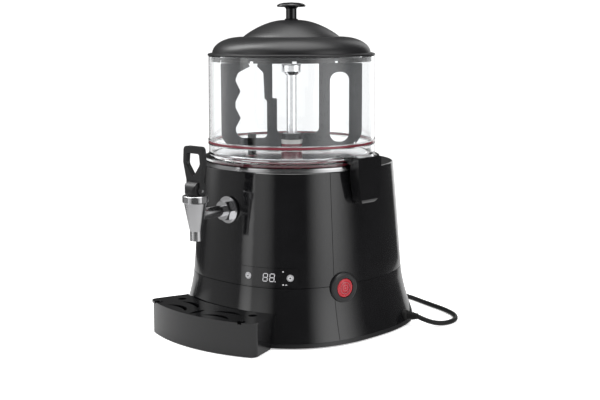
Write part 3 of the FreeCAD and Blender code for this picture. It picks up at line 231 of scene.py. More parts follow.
def satin_black(name, shade):
    """Spark-eroded moulding with a fine even grain."""
    finish = Finish(name, {"IOR": 1.48, "Coat Weight": 0.1, "Coat Roughness": 0.25})
    broad = finish.noise(14.0, 4.0)
    grain = finish.noise(1500.0, 2.0)
    finish.into("Base Color", finish.blend(broad, shade, lighter(shade, 1.8)))
    finish.into("Roughness", 0.3 + 0.09 * broad + 0.06 * grain)
    finish.bump(grain, 0.12, 0.0002)
    return finish.material


def rubber(name, shade, roughness=0.42):
    """Soft moulding with a dull bloom and a pebbled skin."""
    finish = Finish(name, {"IOR": 1.38, "Specular IOR Level": 0.3})
    bloom = finish.noise(45.0, 4.0)
    pebble = finish.noise(1100.0, 3.0)
    finish.into("Base Color", finish.blend(bloom, shade, lighter(shade, 2.4)))
    finish.into("Roughness", roughness + 0.14 * bloom)
    finish.bump(pebble, 0.2, 0.0002)
    return finish.material


def clear_plastic(name, shade):
    """Clear moulding with faint handling marks."""
    finish = Finish(name, {"IOR": 1.42, "Transmission Weight": 1.0})
    smear = finish.noise(38.0, 5.0)
    flow = finish.noise(20.0, 2.0, finish.stretched((1.0, 1.0, 0.15)))
    finish.into("Base Color", finish.blend(smear, shade, lighter(shade, 0.985)))
    finish.into("Roughness", 0.012 * smear.power(2.0))
    finish.bump(flow, 0.03, 0.0006)
    return finish.material


def silicone(name, shade):
    """Translucent red rubber, paler in random cloudy patches."""
    finish = Finish(name, {"IOR": 1.42, "Transmission Weight": 0.35, "Coat Weight": 1.0,
                           "Coat Roughness": 0.06})
    cloud = finish.noise(60.0, 4.0)
    finish.into("Base Color", finish.blend(cloud, shade, (0.26, 0.03, 0.05)))
    finish.into("Roughness", 0.24 + 0.12 * cloud)
    finish.bump(finish.noise(500.0), 0.05, 0.0002)
    return finish.material


def metal(name, shade, roughness, lines, strength, stretch):
    """Steel with the fine lines that its last tool left along one direction."""
    finish = Finish(name, {"Metallic": 1.0})
    brush = finish.noise(lines, 3.0, finish.stretched(stretch))
    broad = finish.noise(30.0, 3.0)
    finish.into("Base Color", finish.blend(brush, lighter(shade, 0.86), lighter(shade, 1.12)))
    finish.into("Roughness", roughness + 0.1 * brush + 0.06 * broad)
    finish.bump(brush, strength, 0.0002)
    return finish.material


def moulded(name, shade, roughness=0.35, transmission=0.0, coat=0.2):
    """General moulding with slight flow marks and wear."""
    finish = Finish(name, {"IOR": 1.49, "Transmission Weight": transmission, "Coat Weight": coat,
                           "Coat Roughness": 0.1})
    marks = finish.noise(55.0, 4.0)
    finish.into("Base Color", finish.blend(marks, lighter(shade, 0.82), lighter(shade, 1.15)))
    finish.into("Roughness", roughness + 0.12 * marks)
    finish.bump(finish.noise(900.0), 0.06, 0.0002)
    return finish.material


def circuit_board(name):
    """Green lacquer over copper tracks."""
    finish = Finish(name, {"Coat Weight": 0.4})
    tracks = finish.node("ShaderNodeTexBrick", None, {
        "Vector": finish.place, "Scale": 160.0, "Color1": (0.02, 0.13, 0.06, 1),
        "Color2": (0.03, 0.17, 0.08, 1), "Mortar": (0.10, 0.26, 0.12, 1)})
    finish.into("Base Color", tracks.outputs["Color"])
    finish.into("Roughness", 0.3 + 0.2 * finish.noise(80.0))
    return finish.material


def glow_painted_figures(name, shade):
    """Segments of the unlit display, with a pale glow painted on them by an emission, brighter in random
    patches.
    """
    # The emission paints a pale glow on the figures, though the display is unlit.
    finish = Finish(name, {"Emission Strength": 0.5})
    glow = finish.noise(700.0)
    finish.into("Base Color", finish.blend(glow, lighter(shade, 0.8), lighter(shade, 1.2)))
    finish.into("Emission Color", finish.blend(glow, lighter(shade, 0.75), lighter(shade, 1.25)))
    finish.into("Roughness", 0.4 + 0.1 * glow)
    return finish.material


def studio_floor(name, shade):
    """Matt card, shaded near the object and evenly white further off, and painted darker for glossy rays,
    which darkens its reflection in glossy parts.
    """
    finish = Finish(name, {"Specular IOR Level": 0.0, "Emission Strength": 1.04})
    tone = finish.noise(1.7, 3.0)
    x, y, _ = finish.split(finish.place)
    far = finish.node("ShaderNodeMapRange", {"interpolation_type": "SMOOTHSTEP"}, {
        "Value": (x * x + y * y).power(0.5), "From Min": FLOOR_NEAR, "From Max": FLOOR_FAR}).outputs[0]
    # Painted shade: glossy rays see the floor darker by a set share, which paints a darker reflection of it
    # in glossy parts.
    path = finish.node("ShaderNodeLightPath").outputs
    painted_reflection_shade = (FLOOR_REFLECTION_SHADE * Number(finish, path["Is Glossy Ray"])
                * (1.0 - Number(finish, path["Is Transmission Ray"])))
    for socket, near, distant in (("Base Color", shade, lighter(shade, 0.08)),
                                  ("Emission Color", lighter(shade, FLOOR_GLOW), (1.0, 1.0, 1.0))):
        card = finish.blend(far, near, distant)
        finish.into(socket, finish.blend(painted_reflection_shade, card, (0.0, 0.0, 0.0)))
    finish.into("Roughness", 0.85 + 0.1 * tone)
    return finish.material


def make_finishes(colours):
    """One material for each slot of the record, by slot name."""
    steel = tuple(colours.steel)
    return {
        "gloss_black": polished_black("gloss_black_finish", tuple(colours.housing)),
        "satin_black": satin_black("satin_black_finish", tuple(colours.lid)),
        "soft_black": rubber("soft_black_finish", tuple(colours.rubber)),
        "clear_plastic": clear_plastic("clear_plastic_finish", tuple(colours.tank)),
        "red_seal": silicone("red_seal_finish", tuple(colours.seal)),
        "mirror_steel": metal("mirror_steel_finish", (0.66, 0.66, 0.67), 0.05, 60.0, 0.02, (1.0, 1.0, 6.0)),
        "satin_steel": metal("satin_steel_finish", steel, 0.17, 90.0, 0.12, (0.6, 0.6, 22.0)),
        "chrome": metal("chrome_finish", (0.88, 0.88, 0.9), 0.03, 40.0, 0.01, (1.0, 1.0, 1.0)),
        "grey_plastic": moulded("grey_plastic_finish", tuple(colours.stirrer), 0.32),
        "white_plastic": moulded("white_plastic_finish", (0.72, 0.7, 0.68), 0.3),
        "red_lens": moulded("red_lens_finish", tuple(colours.power), 0.2, 0.1, 0.4),
        "silver_plastic": moulded("silver_plastic_finish", (0.40, 0.40, 0.41), 0.3, 0.0, 0.3),
        "zinc_steel": metal("zinc_steel_finish", (0.42, 0.42, 0.41), 0.3, 150.0, 0.12, (1.0, 1.0, 1.0)),
        "motor_case": satin_black("motor_case_finish", (0.05, 0.05, 0.055)),
        "board_green": circuit_board("board_green_finish"),
        "cord_black": rubber("cord_black_finish", tuple(colours.cord), 0.36),
        "brass_parts": metal("brass_parts_finish", (0.62, 0.44, 0.17), 0.2, 90.0, 0.08, (1.0, 1.0, 4.0)),
        "figures": glow_painted_figures("figures_finish", tuple(colours.digits)),
        # Pale pink for the rings on the power button, which are painted highlights.
        "pink_print": moulded("pink_print_finish", (0.28, 0.07, 0.085), 0.4),
        "pale_print": moulded("pale_print_finish", (0.42, 0.42, 0.43), 0.45),
    }


FINISHES = {}
# Of these marks, the power button's pink rings are painted highlights and the figures carry a painted glow;
# the rest are print.
PRINTED = ("figures", "pink_print", "pale_print")     # inks, which the record names no slot for


def finish_for(slot):
    if not FINISHES:
        FINISHES.update(make_finishes(bpy.context.scene.dispenser_finish))
    return FINISHES[slot]


def dress(*names):
    """Gives carried-over nodes the finish of the slot that the record names for each."""
    for name in names:
        for slot in frame["nodes"][name].material_slots:
            slot.material = finish_for(slot.material.name.split(".")[0])


def body_of(name):
    """CAD body that a carried-over node belongs to."""
    return frame["nodes"][name]["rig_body"]


def slot_of(name):
    """Material slot of a carried-over node."""
    return frame["nodes"][name].material_slots[0].material.name.split(".")[0]


# ---- shapes ------------------------------------------------------------------------
def rounded(points, closed=True):
    """Outline through 2-D points (a, b, radius), with an arc at each corner that has a radius."""
    outline = []
    count = len(points)
    for index, (a, b, radius) in enumerate(points):
        here = Vector((a, b))
        inner = closed or 0 < index < count - 1
        if radius <= 0 or not inner:
            outline.append(here)
            continue
        before = Vector(points[index - 1][:2]) - here
        after = Vector(points[(index + 1) % count][:2]) - here
        turn = before.angle(after, 0.0)
        if turn < 0.05 or turn > 3.10:
            outline.append(here)
            continue
        reach = min(radius / math.tan(turn / 2), before.length * 0.49, after.length * 0.49)
        size = reach * math.tan(turn / 2)
        centre = here + (before.normalized() + after.normalized()).normalized() * (size / math.sin(turn / 2))
        start, end = here + before.normalized() * reach - centre, here + after.normalized() * reach - centre
        sweep = start.angle_signed(end, 0.0)
        steps = max(3, int(abs(sweep) / 0.22))
        for step in range(steps + 1):
            spin = Matrix.Rotation(-sweep * step / steps, 2)
            outline.append(centre + spin @ start)
    return outline


def place_piece(name, mesh, body, slot, replaces=(), smooth=32.0):
    """Puts a finished mesh in the scene as a piece that rides on a body."""
    mesh.polygons.foreach_set("use_smooth", [True] * len(mesh.polygons))
    mesh.set_sharp_from_angle(angle=math.radians(smooth))
    piece = bpy.data.objects.new(name, mesh)
    bpy.context.scene.collection.objects.link(piece)
    mesh.materials.append(finish_for(slot))
    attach(piece, body)
    slot not in PRINTED
    if replaces:
        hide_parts(*replaces)
    return piece


def mesh_of(work, name):
    bmesh.ops.remove_doubles(work, verts=work.verts, dist=1e-7)
    bmesh.ops.recalc_face_normals(work, faces=work.faces)
    mesh = bpy.data.meshes.new(name)
    work.to_mesh(mesh)
    work.free()
    return mesh


def lathe_into(work, outline, steps, matrix=Matrix()):
    """Revolves a closed outline of (radius, height) in metres about the local Z axis."""
    rings = []
    for radius, height in outline:
        if radius < 1e-6:
            rings.append([work.verts.new(matrix @ Vector((0, 0, height)))] * steps)
        else:
            rings.append([work.verts.new(matrix @ Vector((radius * math.cos(angle), radius * math.sin(angle),
                                                          height)))
                          for angle in (2 * math.pi * step / steps for step in range(steps))])
    for low, high in zip(rings, rings[1:] + rings[:1]):
        for step in range(steps):
            corners = [low[step], low[step - 1], high[step - 1], high[step]]
            loop = list(dict.fromkeys(corners))
            if len(loop) >= 3:
                work.faces.new(loop)


def turned(name, profile, body, slot, replaces=(), axis=TANK_AXIS, matrix=None, steps=0, smooth=32.0):
    """Lathe work: a closed profile of (radius, height, corner radius) in millimetres."""
    work = bmesh.new()
    outline = [point * MM for point in rounded(profile)]
    matrix = matrix or Matrix.Translation((axis[0] * MM, axis[1] * MM, 0))
    lathe_into(work, outline, steps or bpy.context.scene.dispenser_sizes.lathe_steps, matrix)
    return place_piece(name, mesh_of(work, name), body, slot, replaces, smooth)


def slab_into(work, outline, low, high, matrix=Matrix(), edge=0.0):
    """Extrudes an outline of 2-D points in metres, with small rounded edges at both ends."""
    def layer(height, inset):
        count = len(outline)
        ring = []
        for index, point in enumerate(outline):
            before, after = Vector(outline[index - 1]), Vector(outline[(index + 1) % count])
            along = (after - before).normalized()
            inward = Vector((-along.y, along.x))
            at = Vector(point) + inward * inset
            ring.append(work.verts.new(matrix @ Vector((at.x, at.y, height))))
        return ring

    levels = [(low, edge), (low + edge * 0.3, edge * 0.3), (low + edge, 0.0), (high - edge, 0.0),
              (high - edge * 0.3, edge * 0.3), (high, edge)] if edge else [(low, 0.0), (high, 0.0)]
    rings = [layer(*level) for level in levels]
    for lower, upper in zip(rings, rings[1:]):
        for index in range(len(outline)):
            work.faces.new((lower[index - 1], lower[index], upper[index], upper[index - 1]))
    work.faces.new(rings[0])
    work.faces.new(rings[-1])


# ---- the housing's curved wall --------------------------------------------------------
DECK_Z, DECK_HALF_WIDTH = 238.0, 126.8
FOOT_Z, FOOT_HALF_WIDTH = 2.0, 160.0
TAPER = 0.0823                   # how much wider each side gets for each unit down from the deck
FLARE_TOP, FLARE_POWER = 80.0, 1.75
EXTRA_DEPTH = 14.0
FRONT_POWER, REAR_POWER = 2.5, 2.3


def half_axes(z, proud=0.0):
    """Half width and half depth of the housing's plan at a height, in millimetres."""
    half = DECK_HALF_WIDTH + (DECK_Z - z) * TAPER
    if z < FLARE_TOP:
        flare = FOOT_HALF_WIDTH - DECK_HALF_WIDTH - (DECK_Z - FOOT_Z) * TAPER
        half += flare * ((FLARE_TOP - z) / (FLARE_TOP - FOOT_Z)) ** FLARE_POWER
    return half + proud, half + EXTRA_DEPTH + proud


def fullness(x, y, z, proud=0.0):
    """Below 1 inside the housing's plan, above 1 outside it."""
    a, b = half_axes(z, proud)
    power = REAR_POWER if y >= PLAN_CENTRE_Y else FRONT_POWER
    return (abs(x) / a) ** power + (abs(y - PLAN_CENTRE_Y) / b) ** power


def wall_frame(angle, z):
    """Matrix in metres at the wall: X across, Y up, Z level and outward."""
    direction = Vector((math.cos(math.radians(angle)), math.sin(math.radians(angle))))
    low, high = 0.0, 400.0
    for _ in range(48):
        middle = (low + high) / 2
        inside = fullness(direction.x * middle, TANK_AXIS[1] + direction.y * middle, z) < 1
        low, high = (middle, high) if inside else (low, middle)
    x, y = direction.x * low, TANK_AXIS[1] + direction.y * low
    step = 0.01
    normal = Vector((fullness(x + step, y, z) - fullness(x - step, y, z),
                     fullness(x, y + step, z) - fullness(x, y - step, z), 0)).normalized()
    up = Vector((0, 0, 1))
    across = up.cross(normal)
    matrix = Matrix((across, up, normal)).transposed().to_4x4()
    matrix.translation = Vector((x, y, z)) * MM
    return matrix


def on_wall(matrix, across, up, proud):
    """Point in metres on the wall, beside and above a wall frame, and proud of it; sizes in millimetres."""
    low, high = -40.0, 10.0
    for _ in range(40):
        middle = (low + high) / 2
        at = matrix @ Vector((across * MM, up * MM, middle * MM)) / MM
        low, high = (middle, high) if fullness(at.x, at.y, at.z, proud) < 1 else (low, middle)
    return matrix @ Vector((across * MM, up * MM, low * MM))


def inlay(work, matrix, outline, proud, thickness=0.35):
    """Thin plate that follows the wall, from an outline in the wall frame's millimetres."""
    front = [work.verts.new(on_wall(matrix, a, b, proud)) for a, b in outline]
    back = [work.verts.new(on_wall(matrix, a, b, proud - thickness)) for a, b in outline]
    work.faces.new(front)
    work.faces.new(back[::-1])
    for index in range(len(outline)):
        work.faces.new((front[index - 1], front[index], back[index], back[index - 1]))


# ---- pieces --------------------------------------------------------------------------
class BuildHousing(bpy.types.Operator):
    """Finish the housing, its base, feet and vents"""
    bl_idname = "dispenser.housing"
    bl_label = "Housing"

    def execute(self, context):
        dress("base_plate", "rubber_feet", "base_screws", "lower_housing_front", "lower_housing_rear",
              "upper_housing_front", "upper_housing_rear", "top_deck", "motor_bracket", "gearbox", "motor")
        return {"FINISHED"}


class BuildTank(bpy.types.Operator):
    """Build the heated plate, the clear tank, its seated skirt and its seals"""
    bl_idname = "dispenser.tank"
    bl_label = "Tank and plate"

    def execute(self, context):
        dress("plate_rim", "heating_plate", "heating_element", "thermostat", "tank", "tank_skirt",
              "outlet_seal", "outlet_elbow")
        upper = [(116.4, 268.8, 0.4), (122.0, 268.8, 1.0), (122.0, 272.3, 1.0), (121.05, 272.3, 0),
                 (121.05, 270, 0), (117.45, 270, 0), (117.45, 272.3, 0.2), (116.4, 271.6, 0.4)]
        turned("soft_upper_seal", upper, body_of("upper_seal"), "red_seal", ("upper_seal",))
        for name, inner, low, high in (("seal_lip_low", 116.2, 267.05, 268.8),
                                       ("seal_lip_high", 121.05, 272.3, 274.0)):
            lip = [(inner, low, 0.3), (122.3, low, 0.8), (122.3, high, 0.8), (inner, high, 0.3)]
            turned(name, lip, body_of("upper_seal"), "clear_plastic")
        lower = [(111.1, 243.5, 0), (117.4, 243.5, 0.8), (117.4, 247.9, 0), (120.3, 247.9, 0.8),
                 (120.3, 251.6, 0.8), (116.0, 251.6, 0.8), (111.1, 250.1, 0.3)]
        turned("soft_lower_seal", lower, body_of("lower_seal"), "red_seal", ("lower_seal",))
        return {"FINISHED"}


LID_LIP, LID_SHOULDER, LID_CREASE = (121.4, 394.0), (115.0, 397.0), (69.5, 421.0)     # radius and height
LID_TOP, LID_THICKNESS, KNOB_STEM, KNOB_BORE = 445.0, 2.2, 7.7, 2.6
LID_SKIRT, LID_SKIRT_LOW, NOTCH_HEIGHT, NOTCHES = 116.2, 386.0, 3.0, 12


class BuildLid(bpy.types.Operator):
    """Build the domed lid and its knob"""
    bl_idname = "dispenser.lid"
    bl_label = "Lid and knob"

    def dome(self, drop):
        """Section of the lid, from its rolled shoulder over a crease to the flatter cap."""
        steps = 24
        (shoulder, base), (crease, crease_z) = LID_SHOULDER, LID_CREASE
        section = []
        for step in range(steps + 1):
            turn = math.pi / 2 * step / steps
            radius = crease + (shoulder - crease) * max(0.0, math.cos(turn)) ** 0.9
            section.append((radius - drop * math.cos(turn),
                            base + (crease_z - base - drop) * math.sin(turn), 0))
        for step in range(1, steps + 1):
            share = step / steps
            rise = math.sin(share * math.pi / 2) ** 0.85
            section.append((crease - (crease - KNOB_STEM) * share,
                            crease_z + (LID_TOP - crease_z) * rise - drop, 0))
        return section

    def execute(self, context):
        steps = context.scene.dispenser_sizes.lathe_steps
        place = Matrix.Translation((TANK_AXIS[0] * MM, TANK_AXIS[1] * MM, 0))
        (lip, lip_z), (_, shoulder_z) = LID_LIP, LID_SHOULDER
        inner, notch_top = LID_SKIRT - LID_THICKNESS, LID_SKIRT_LOW + NOTCH_HEIGHT
        section = [(inner, notch_top, 0), (LID_SKIRT, notch_top, 0), (LID_SKIRT, lip_z, 0.3),
                   (lip, lip_z, 0.9), (lip, shoulder_z, 1.2)]
        section += self.dome(0)[1:] + [(KNOB_BORE, LID_TOP, 0), (KNOB_BORE, LID_TOP - LID_THICKNESS, 0)]
        section += self.dome(LID_THICKNESS)[::-1] + [(inner, lip_z, 0)]
        work = bmesh.new()
        lathe_into(work, [point * MM for point in rounded(section)], steps, place)
        for notch in range(NOTCHES):
            sides = [math.radians(360 / NOTCHES * notch + 16.5 + 27 * step / 9) for step in range(10)]
            arc = [Vector((math.cos(side), math.sin(side))) for side in sides]
            slab_into(work, [at * LID_SKIRT * MM for at in arc] + [at * inner * MM for at in arc[::-1]],
                      LID_SKIRT_LOW * MM, notch_top * MM, place, 0.2 * MM)
        place_piece("domed_lid", mesh_of(work, "domed_lid"), body_of("lid"), "satin_black", ("lid",), 38.0)
        knob = [(KNOB_BORE, 446.5, 0.3), (KNOB_STEM, 446.5, 0.4), (KNOB_STEM, 461, 1.5), (9.7, 463, 1.5),
                (20, 463.5, 0.8), (21, 464.8, 1.0), (20.2, 466.3, 1.5), (17, 468, 4), (11, 469.3, 8),
                (0, 470, 0), (0, 458.5, 0), (KNOB_BORE, 458.5, 0)]
        turned("waisted_knob", knob, body_of("lid_knob"), slot_of("lid_knob"), ("lid_knob",), steps=96,
               smooth=38.0)
        dress("knob_washer", "knob_screw")
        return {"FINISHED"}


class BuildStirrer(bpy.types.Operator):
    """Finish the stirrer, its tube and its hub"""
    bl_idname = "dispenser.stirrer"
    bl_label = "Stirrer"

    def execute(self, context):
        dress("stirrer_frame", "stirrer_wiper", "stirrer_tube", "stirrer_cap", "hub_sleeve", "hub_cap",
              "drive_shaft")
        return {"FINISHED"}


class BuildTap(bpy.types.Operator):
    """Build the draw-off tap with its flange, nut and handle"""
    bl_idname = "dispenser.tap"
    bl_label = "Tap"

    def execute(self, context):
        dress("tap_gasket", "tap_flange", "tap_nut", "tap_lock_nut", "tap_shank", "tap_body", "tap_bonnet",
              "tap_pin", "tap_handle", "tap_plunger")
        self.bellows()
        return {"FINISHED"}

    def bellows(self):
        """Pleated sleeve on the valve's stem. The real sleeve shortens as the valve lifts; this one is built
        at one length.
        """
        low, high, pleats = 178.1, 211.4, 6
        folds = [(3.7 + (1.6 if fold % 2 else 0.0), low + (high - low) * fold / (2 * pleats), 0.3)
                 for fold in range(2 * pleats + 1)]
        inside = [(radius - 0.9, height, 0.3) for radius, height, _ in folds[::-1]]
        sleeve = turned("valve_bellows", folds + inside, body_of("tap_bellows"), slot_of("tap_bellows"),
                        ("tap_bellows",), axis=TAP_AXIS, steps=48)
        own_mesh(sleeve)


class BuildTray(bpy.types.Operator):
    """Finish the drip tray and its grille"""
    bl_idname = "dispenser.tray"
    bl_label = "Drip tray"

    def execute(self, context):
        dress("drip_tray", "drip_grille")
        return {"FINISHED"}


PRINT_PROUD = 0.72               # how far the prints stand out from the wall under the panel
SLANT = 0.09                     # lean of the figures
SEGMENTS = ((-1, 1, 1, 1), (-1, -1, 1, -1), (-1, 0, 1, 0), (-1, 0, -1, 1), (1, 0, 1, 1), (-1, -1, -1, 0),
            (1, -1, 1, 0))


class BuildControls(bpy.types.Operator):
    """Build the display's figures, the buttons' symbols and the power button"""
    bl_idname = "dispenser.controls"
    bl_label = "Controls"

    def execute(self, context):
        dress("display_panel", "display_module", "control_board", "button_down", "button_up", "switch_bezel",
              "switch_body")
        self.figures(context.scene.dispenser_sizes.digit_height / MM)
        self.symbols()
        self.power_button()
        return {"FINISHED"}

    def figures(self, tall):
        """Two seven-bar figures and their point, printed behind the panel's face; their finish paints a pale
        glow on them.
        """
        frame_at = wall_frame(PANEL_ANGLE, PANEL_Z)
        work = bmesh.new()
        half_tall, half_wide, bar = tall / 2, tall * 0.30, 0.5
        for centre in (-4.0, 5.8):
            for x0, y0, x1, y1 in SEGMENTS:
                start = Vector((centre + x0 * half_wide + y0 * half_tall * SLANT, y0 * half_tall))
                end = Vector((centre + x1 * half_wide + y1 * half_tall * SLANT, y1 * half_tall))
                along = (end - start).normalized()
                side = Vector((-along.y, along.x)) * bar
                start, end = start + along * bar * 0.75, end - along * bar * 0.75
                tip = along * bar * 0.7
                inlay(work, frame_at, [start, start + tip + side, end - tip + side, end, end - tip - side,
                                       start + tip - side], PRINT_PROUD)
        inlay(work, frame_at, self.disc(10.3, -half_tall, 0.7, 12), PRINT_PROUD)
        place_piece("display_figures", mesh_of(work, "display_figures"), "root", "figures")

    def disc(self, across, up, radius, corners):
        """Outline of a small round or square mark."""
        return [Vector((across + radius * math.cos(a), up + radius * math.sin(a)))
                for a in (2 * math.pi * corner / corners for corner in range(corners))]

    def symbols(self):
        """Plain marks on the two buttons and three small ones beside the right one."""
        for name, side in (("button_down", -1), ("button_up", 1)):
            at = wall_frame(PANEL_ANGLE + side * BUTTON_SPREAD, PANEL_Z)
            work = bmesh.new()
            ring = [(3.55, 1.32, 0), (3.95, 1.32, 0), (3.95, 1.52, 0.08), (3.55, 1.52, 0.08)]
            lathe_into(work, [point * MM for point in rounded(ring)], 48, at)
            arrow = [(-1.7, -0.9 * side), (1.7, -0.9 * side), (0.0, 1.5 * side)]
            arrow = arrow if side > 0 else arrow[::-1]
            slab_into(work, [Vector(p) * MM for p in arrow], 1.3 * MM, 1.5 * MM, at)
            place_piece(name + "_symbol", mesh_of(work, name + "_symbol"), name, "gloss_black")
        at = wall_frame(PANEL_ANGLE, PANEL_Z)
        work = bmesh.new()
        inlay(work, at, self.disc(21.5, -9.3, 1.1, 16), 0.75)
        inlay(work, at, [(23.6, -9.9), (27.4, -9.9), (25.5, -8.2)], PRINT_PROUD)
        inlay(work, at, self.disc(21.0, 8.6, 1.3, 4), 0.70)
        place_piece("panel_marks", mesh_of(work, "panel_marks"), "root", "pale_print")

    def power_button(self):
        """Domed lens with concentric ridges, and pale pink rings on two of the ridges and a dot at the
        centre, which are painted highlights.
        """
        profile = [(0, -8, 0), (13.5, -8, 0), (13.5, 2.4, 0.6), (12.4, 4.0, 0.8)]
        for ridge in range(5):
            outer = 11.2 - ridge * 2.15
            height = 4.15 + 0.13 * ridge
            profile += [(outer, height - 0.35, 0.1), (outer - 0.7, height + 0.1, 0.3),
                        (outer - 1.3, height + 0.1, 0.3), (outer - 1.75, height - 0.35, 0.1)]
        profile += [(0, 4.45, 0)]
        turned("power_lens", profile, "power_button", "red_lens", ("power_button",),
               matrix=wall_frame(SWITCH_ANGLE, SWITCH_Z), steps=96)
        work = bmesh.new()
        # Painted highlights: pale pink rings on two of the lens's ridges and a dot at its centre.
        for low, high in ((0.0, 1.1), (3.7, 4.5), (7.6, 8.3)):
            ring = [Vector(point) * MM for point in ((low, 4.3), (high, 4.3), (high, 4.72), (low, 4.72))]
            lathe_into(work, ring, 72, wall_frame(SWITCH_ANGLE, SWITCH_Z))
        place_piece("power_painted_highlight", mesh_of(work, "power_painted_highlight"), "power_button", "pink_print")


class BuildLatch(bpy.types.Operator):
    """Finish the latch that holds the tank down"""
    bl_idname = "dispenser.latch"
    bl_label = "Latch"

    def execute(self, context):
        dress("latch_bracket", "latch_pin", "latch_lever")
        return {"FINISHED"}


ROUTE = ((0.16503, 0.10199, 0.0150), (0.18124, 0.10710, 0.0085), (0.192, 0.129, 0.0036),
         (0.194, 0.157, 0.0036), (0.176, 0.183, 0.0036), (0.143, 0.200, 0.0036), (0.100, 0.213, 0.0036),
         (0.054, 0.230, 0.0036), (0.004, 0.236, 0.0036), (-0.044, 0.226, 0.0036))
COIL_CENTRE = (-0.088, 0.266)
PLUG_PLACE = (-0.106, 0.3045, 0.021)      # where the cord enters the plug, which points along +X
TAIL_BEND = 0.0275                        # radius of the cord's last quarter turn, into the plug
TURN_POINTS = 16


class BuildCord(bpy.types.Operator):
    """Lay the mains cord, wind its spare length in a coil and finish its plug"""
    bl_idname = "dispenser.cord"
    bl_label = "Mains cord"

    def coil_points(self, radius, thick):
        """Six turns, three side by side on the floor and three on them, and a quarter turn on top."""
        turns = [(radius + thick, 0), (radius, 0), (radius - thick, 0), (radius - thick, 1), (radius, 1),
                 (radius + thick, 1), (radius + thick, 2)]
        points = []
        for index in range(6 * TURN_POINTS + TURN_POINTS // 4):
            turn, part = index // TURN_POINTS, index % TURN_POINTS / TURN_POINTS
            here, after = turns[turn], turns[min(turn + 1, len(turns) - 1)]
            ease = max(0.0, (part - 0.72) / 0.28)
            ease = ease * ease * (3 - 2 * ease)
            reach = (here[0] + (after[0] - here[0]) * ease) / math.cos(math.pi / TURN_POINTS)
            layer = here[1] + (after[1] - here[1]) * ease
            angle = -math.pi / 2 - 2 * math.pi * index / TURN_POINTS
            points.append((COIL_CENTRE[0] + reach * math.cos(angle), COIL_CENTRE[1] + reach * math.sin(angle),
                           ROUTE[-1][2] + layer * thick))
        return points

    def tail_points(self, start):
        """A quarter turn from the coil's side into the plug, rising as it goes."""
        x, y, z = PLUG_PLACE
        reach = TAIL_BEND / math.cos(math.radians(15))
        bend = [(x + reach * math.cos(a), y - TAIL_BEND + reach * math.sin(a), start + (z - start) * rise)
                for a, rise in ((math.radians(165), 0.2), (math.radians(135), 0.7), (math.radians(105), 1.0))]
        return bend + [PLUG_PLACE]

    def execute(self, context):
        sizes = context.scene.dispenser_sizes
        thick = sizes.cord_diameter
        coil = self.coil_points(sizes.coil_radius, thick)
        points = list(ROUTE) + coil + self.tail_points(coil[-1][2])
        curve = bpy.data.curves.new("mains_cord", "CURVE")
        curve.dimensions = "3D"
        curve.bevel_depth = thick / 2
        curve.bevel_resolution = 6
        curve.use_fill_caps = True
        curve.resolution_u = 8
        spline = curve.splines.new("NURBS")
        spline.points.add(len(points) - 1)
        for point, place in zip(spline.points, points):
            point.co = (*place, 1.0)
        spline.order_u = 3
        spline.use_endpoint_u = True
        flex = bpy.data.objects.new("mains_cord", curve)
        context.scene.collection.objects.link(flex)
        curve.materials.append(finish_for("cord_black"))
        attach(flex, "root")
        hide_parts("power_cord", "cord_coil")
        dress("plug")
        relief = self.strain_relief()
        return {"FINISHED"}

    def strain_relief(self):
        """Tapered boot with ribs that let it bend."""
        profile = [(3.55, -2.0, 0), (8.0, -2.0, 0.0), (8.0, 3.6, 0.5), (6.9, 5.0, 0.5)]
        ribs = 5
        for rib in range(ribs):
            at = 5.0 + rib * 2.9
            radius = 6.7 - rib * 0.5
            profile += [(radius - 0.9, at + 0.4, 0.2), (radius - 0.9, at + 1.3, 0.2), (radius, at + 1.6, 0.3),
                        (radius - 0.1, at + 2.8, 0.3)]
        profile += [(4.1, 19.9, 0.3), (3.55, 19.9, 0)]
        return turned("cord_boot", profile, "root", "cord_black", ("strain_relief",),
                      matrix=wall_frame(CORD_ANGLE, CORD_Z), steps=64)


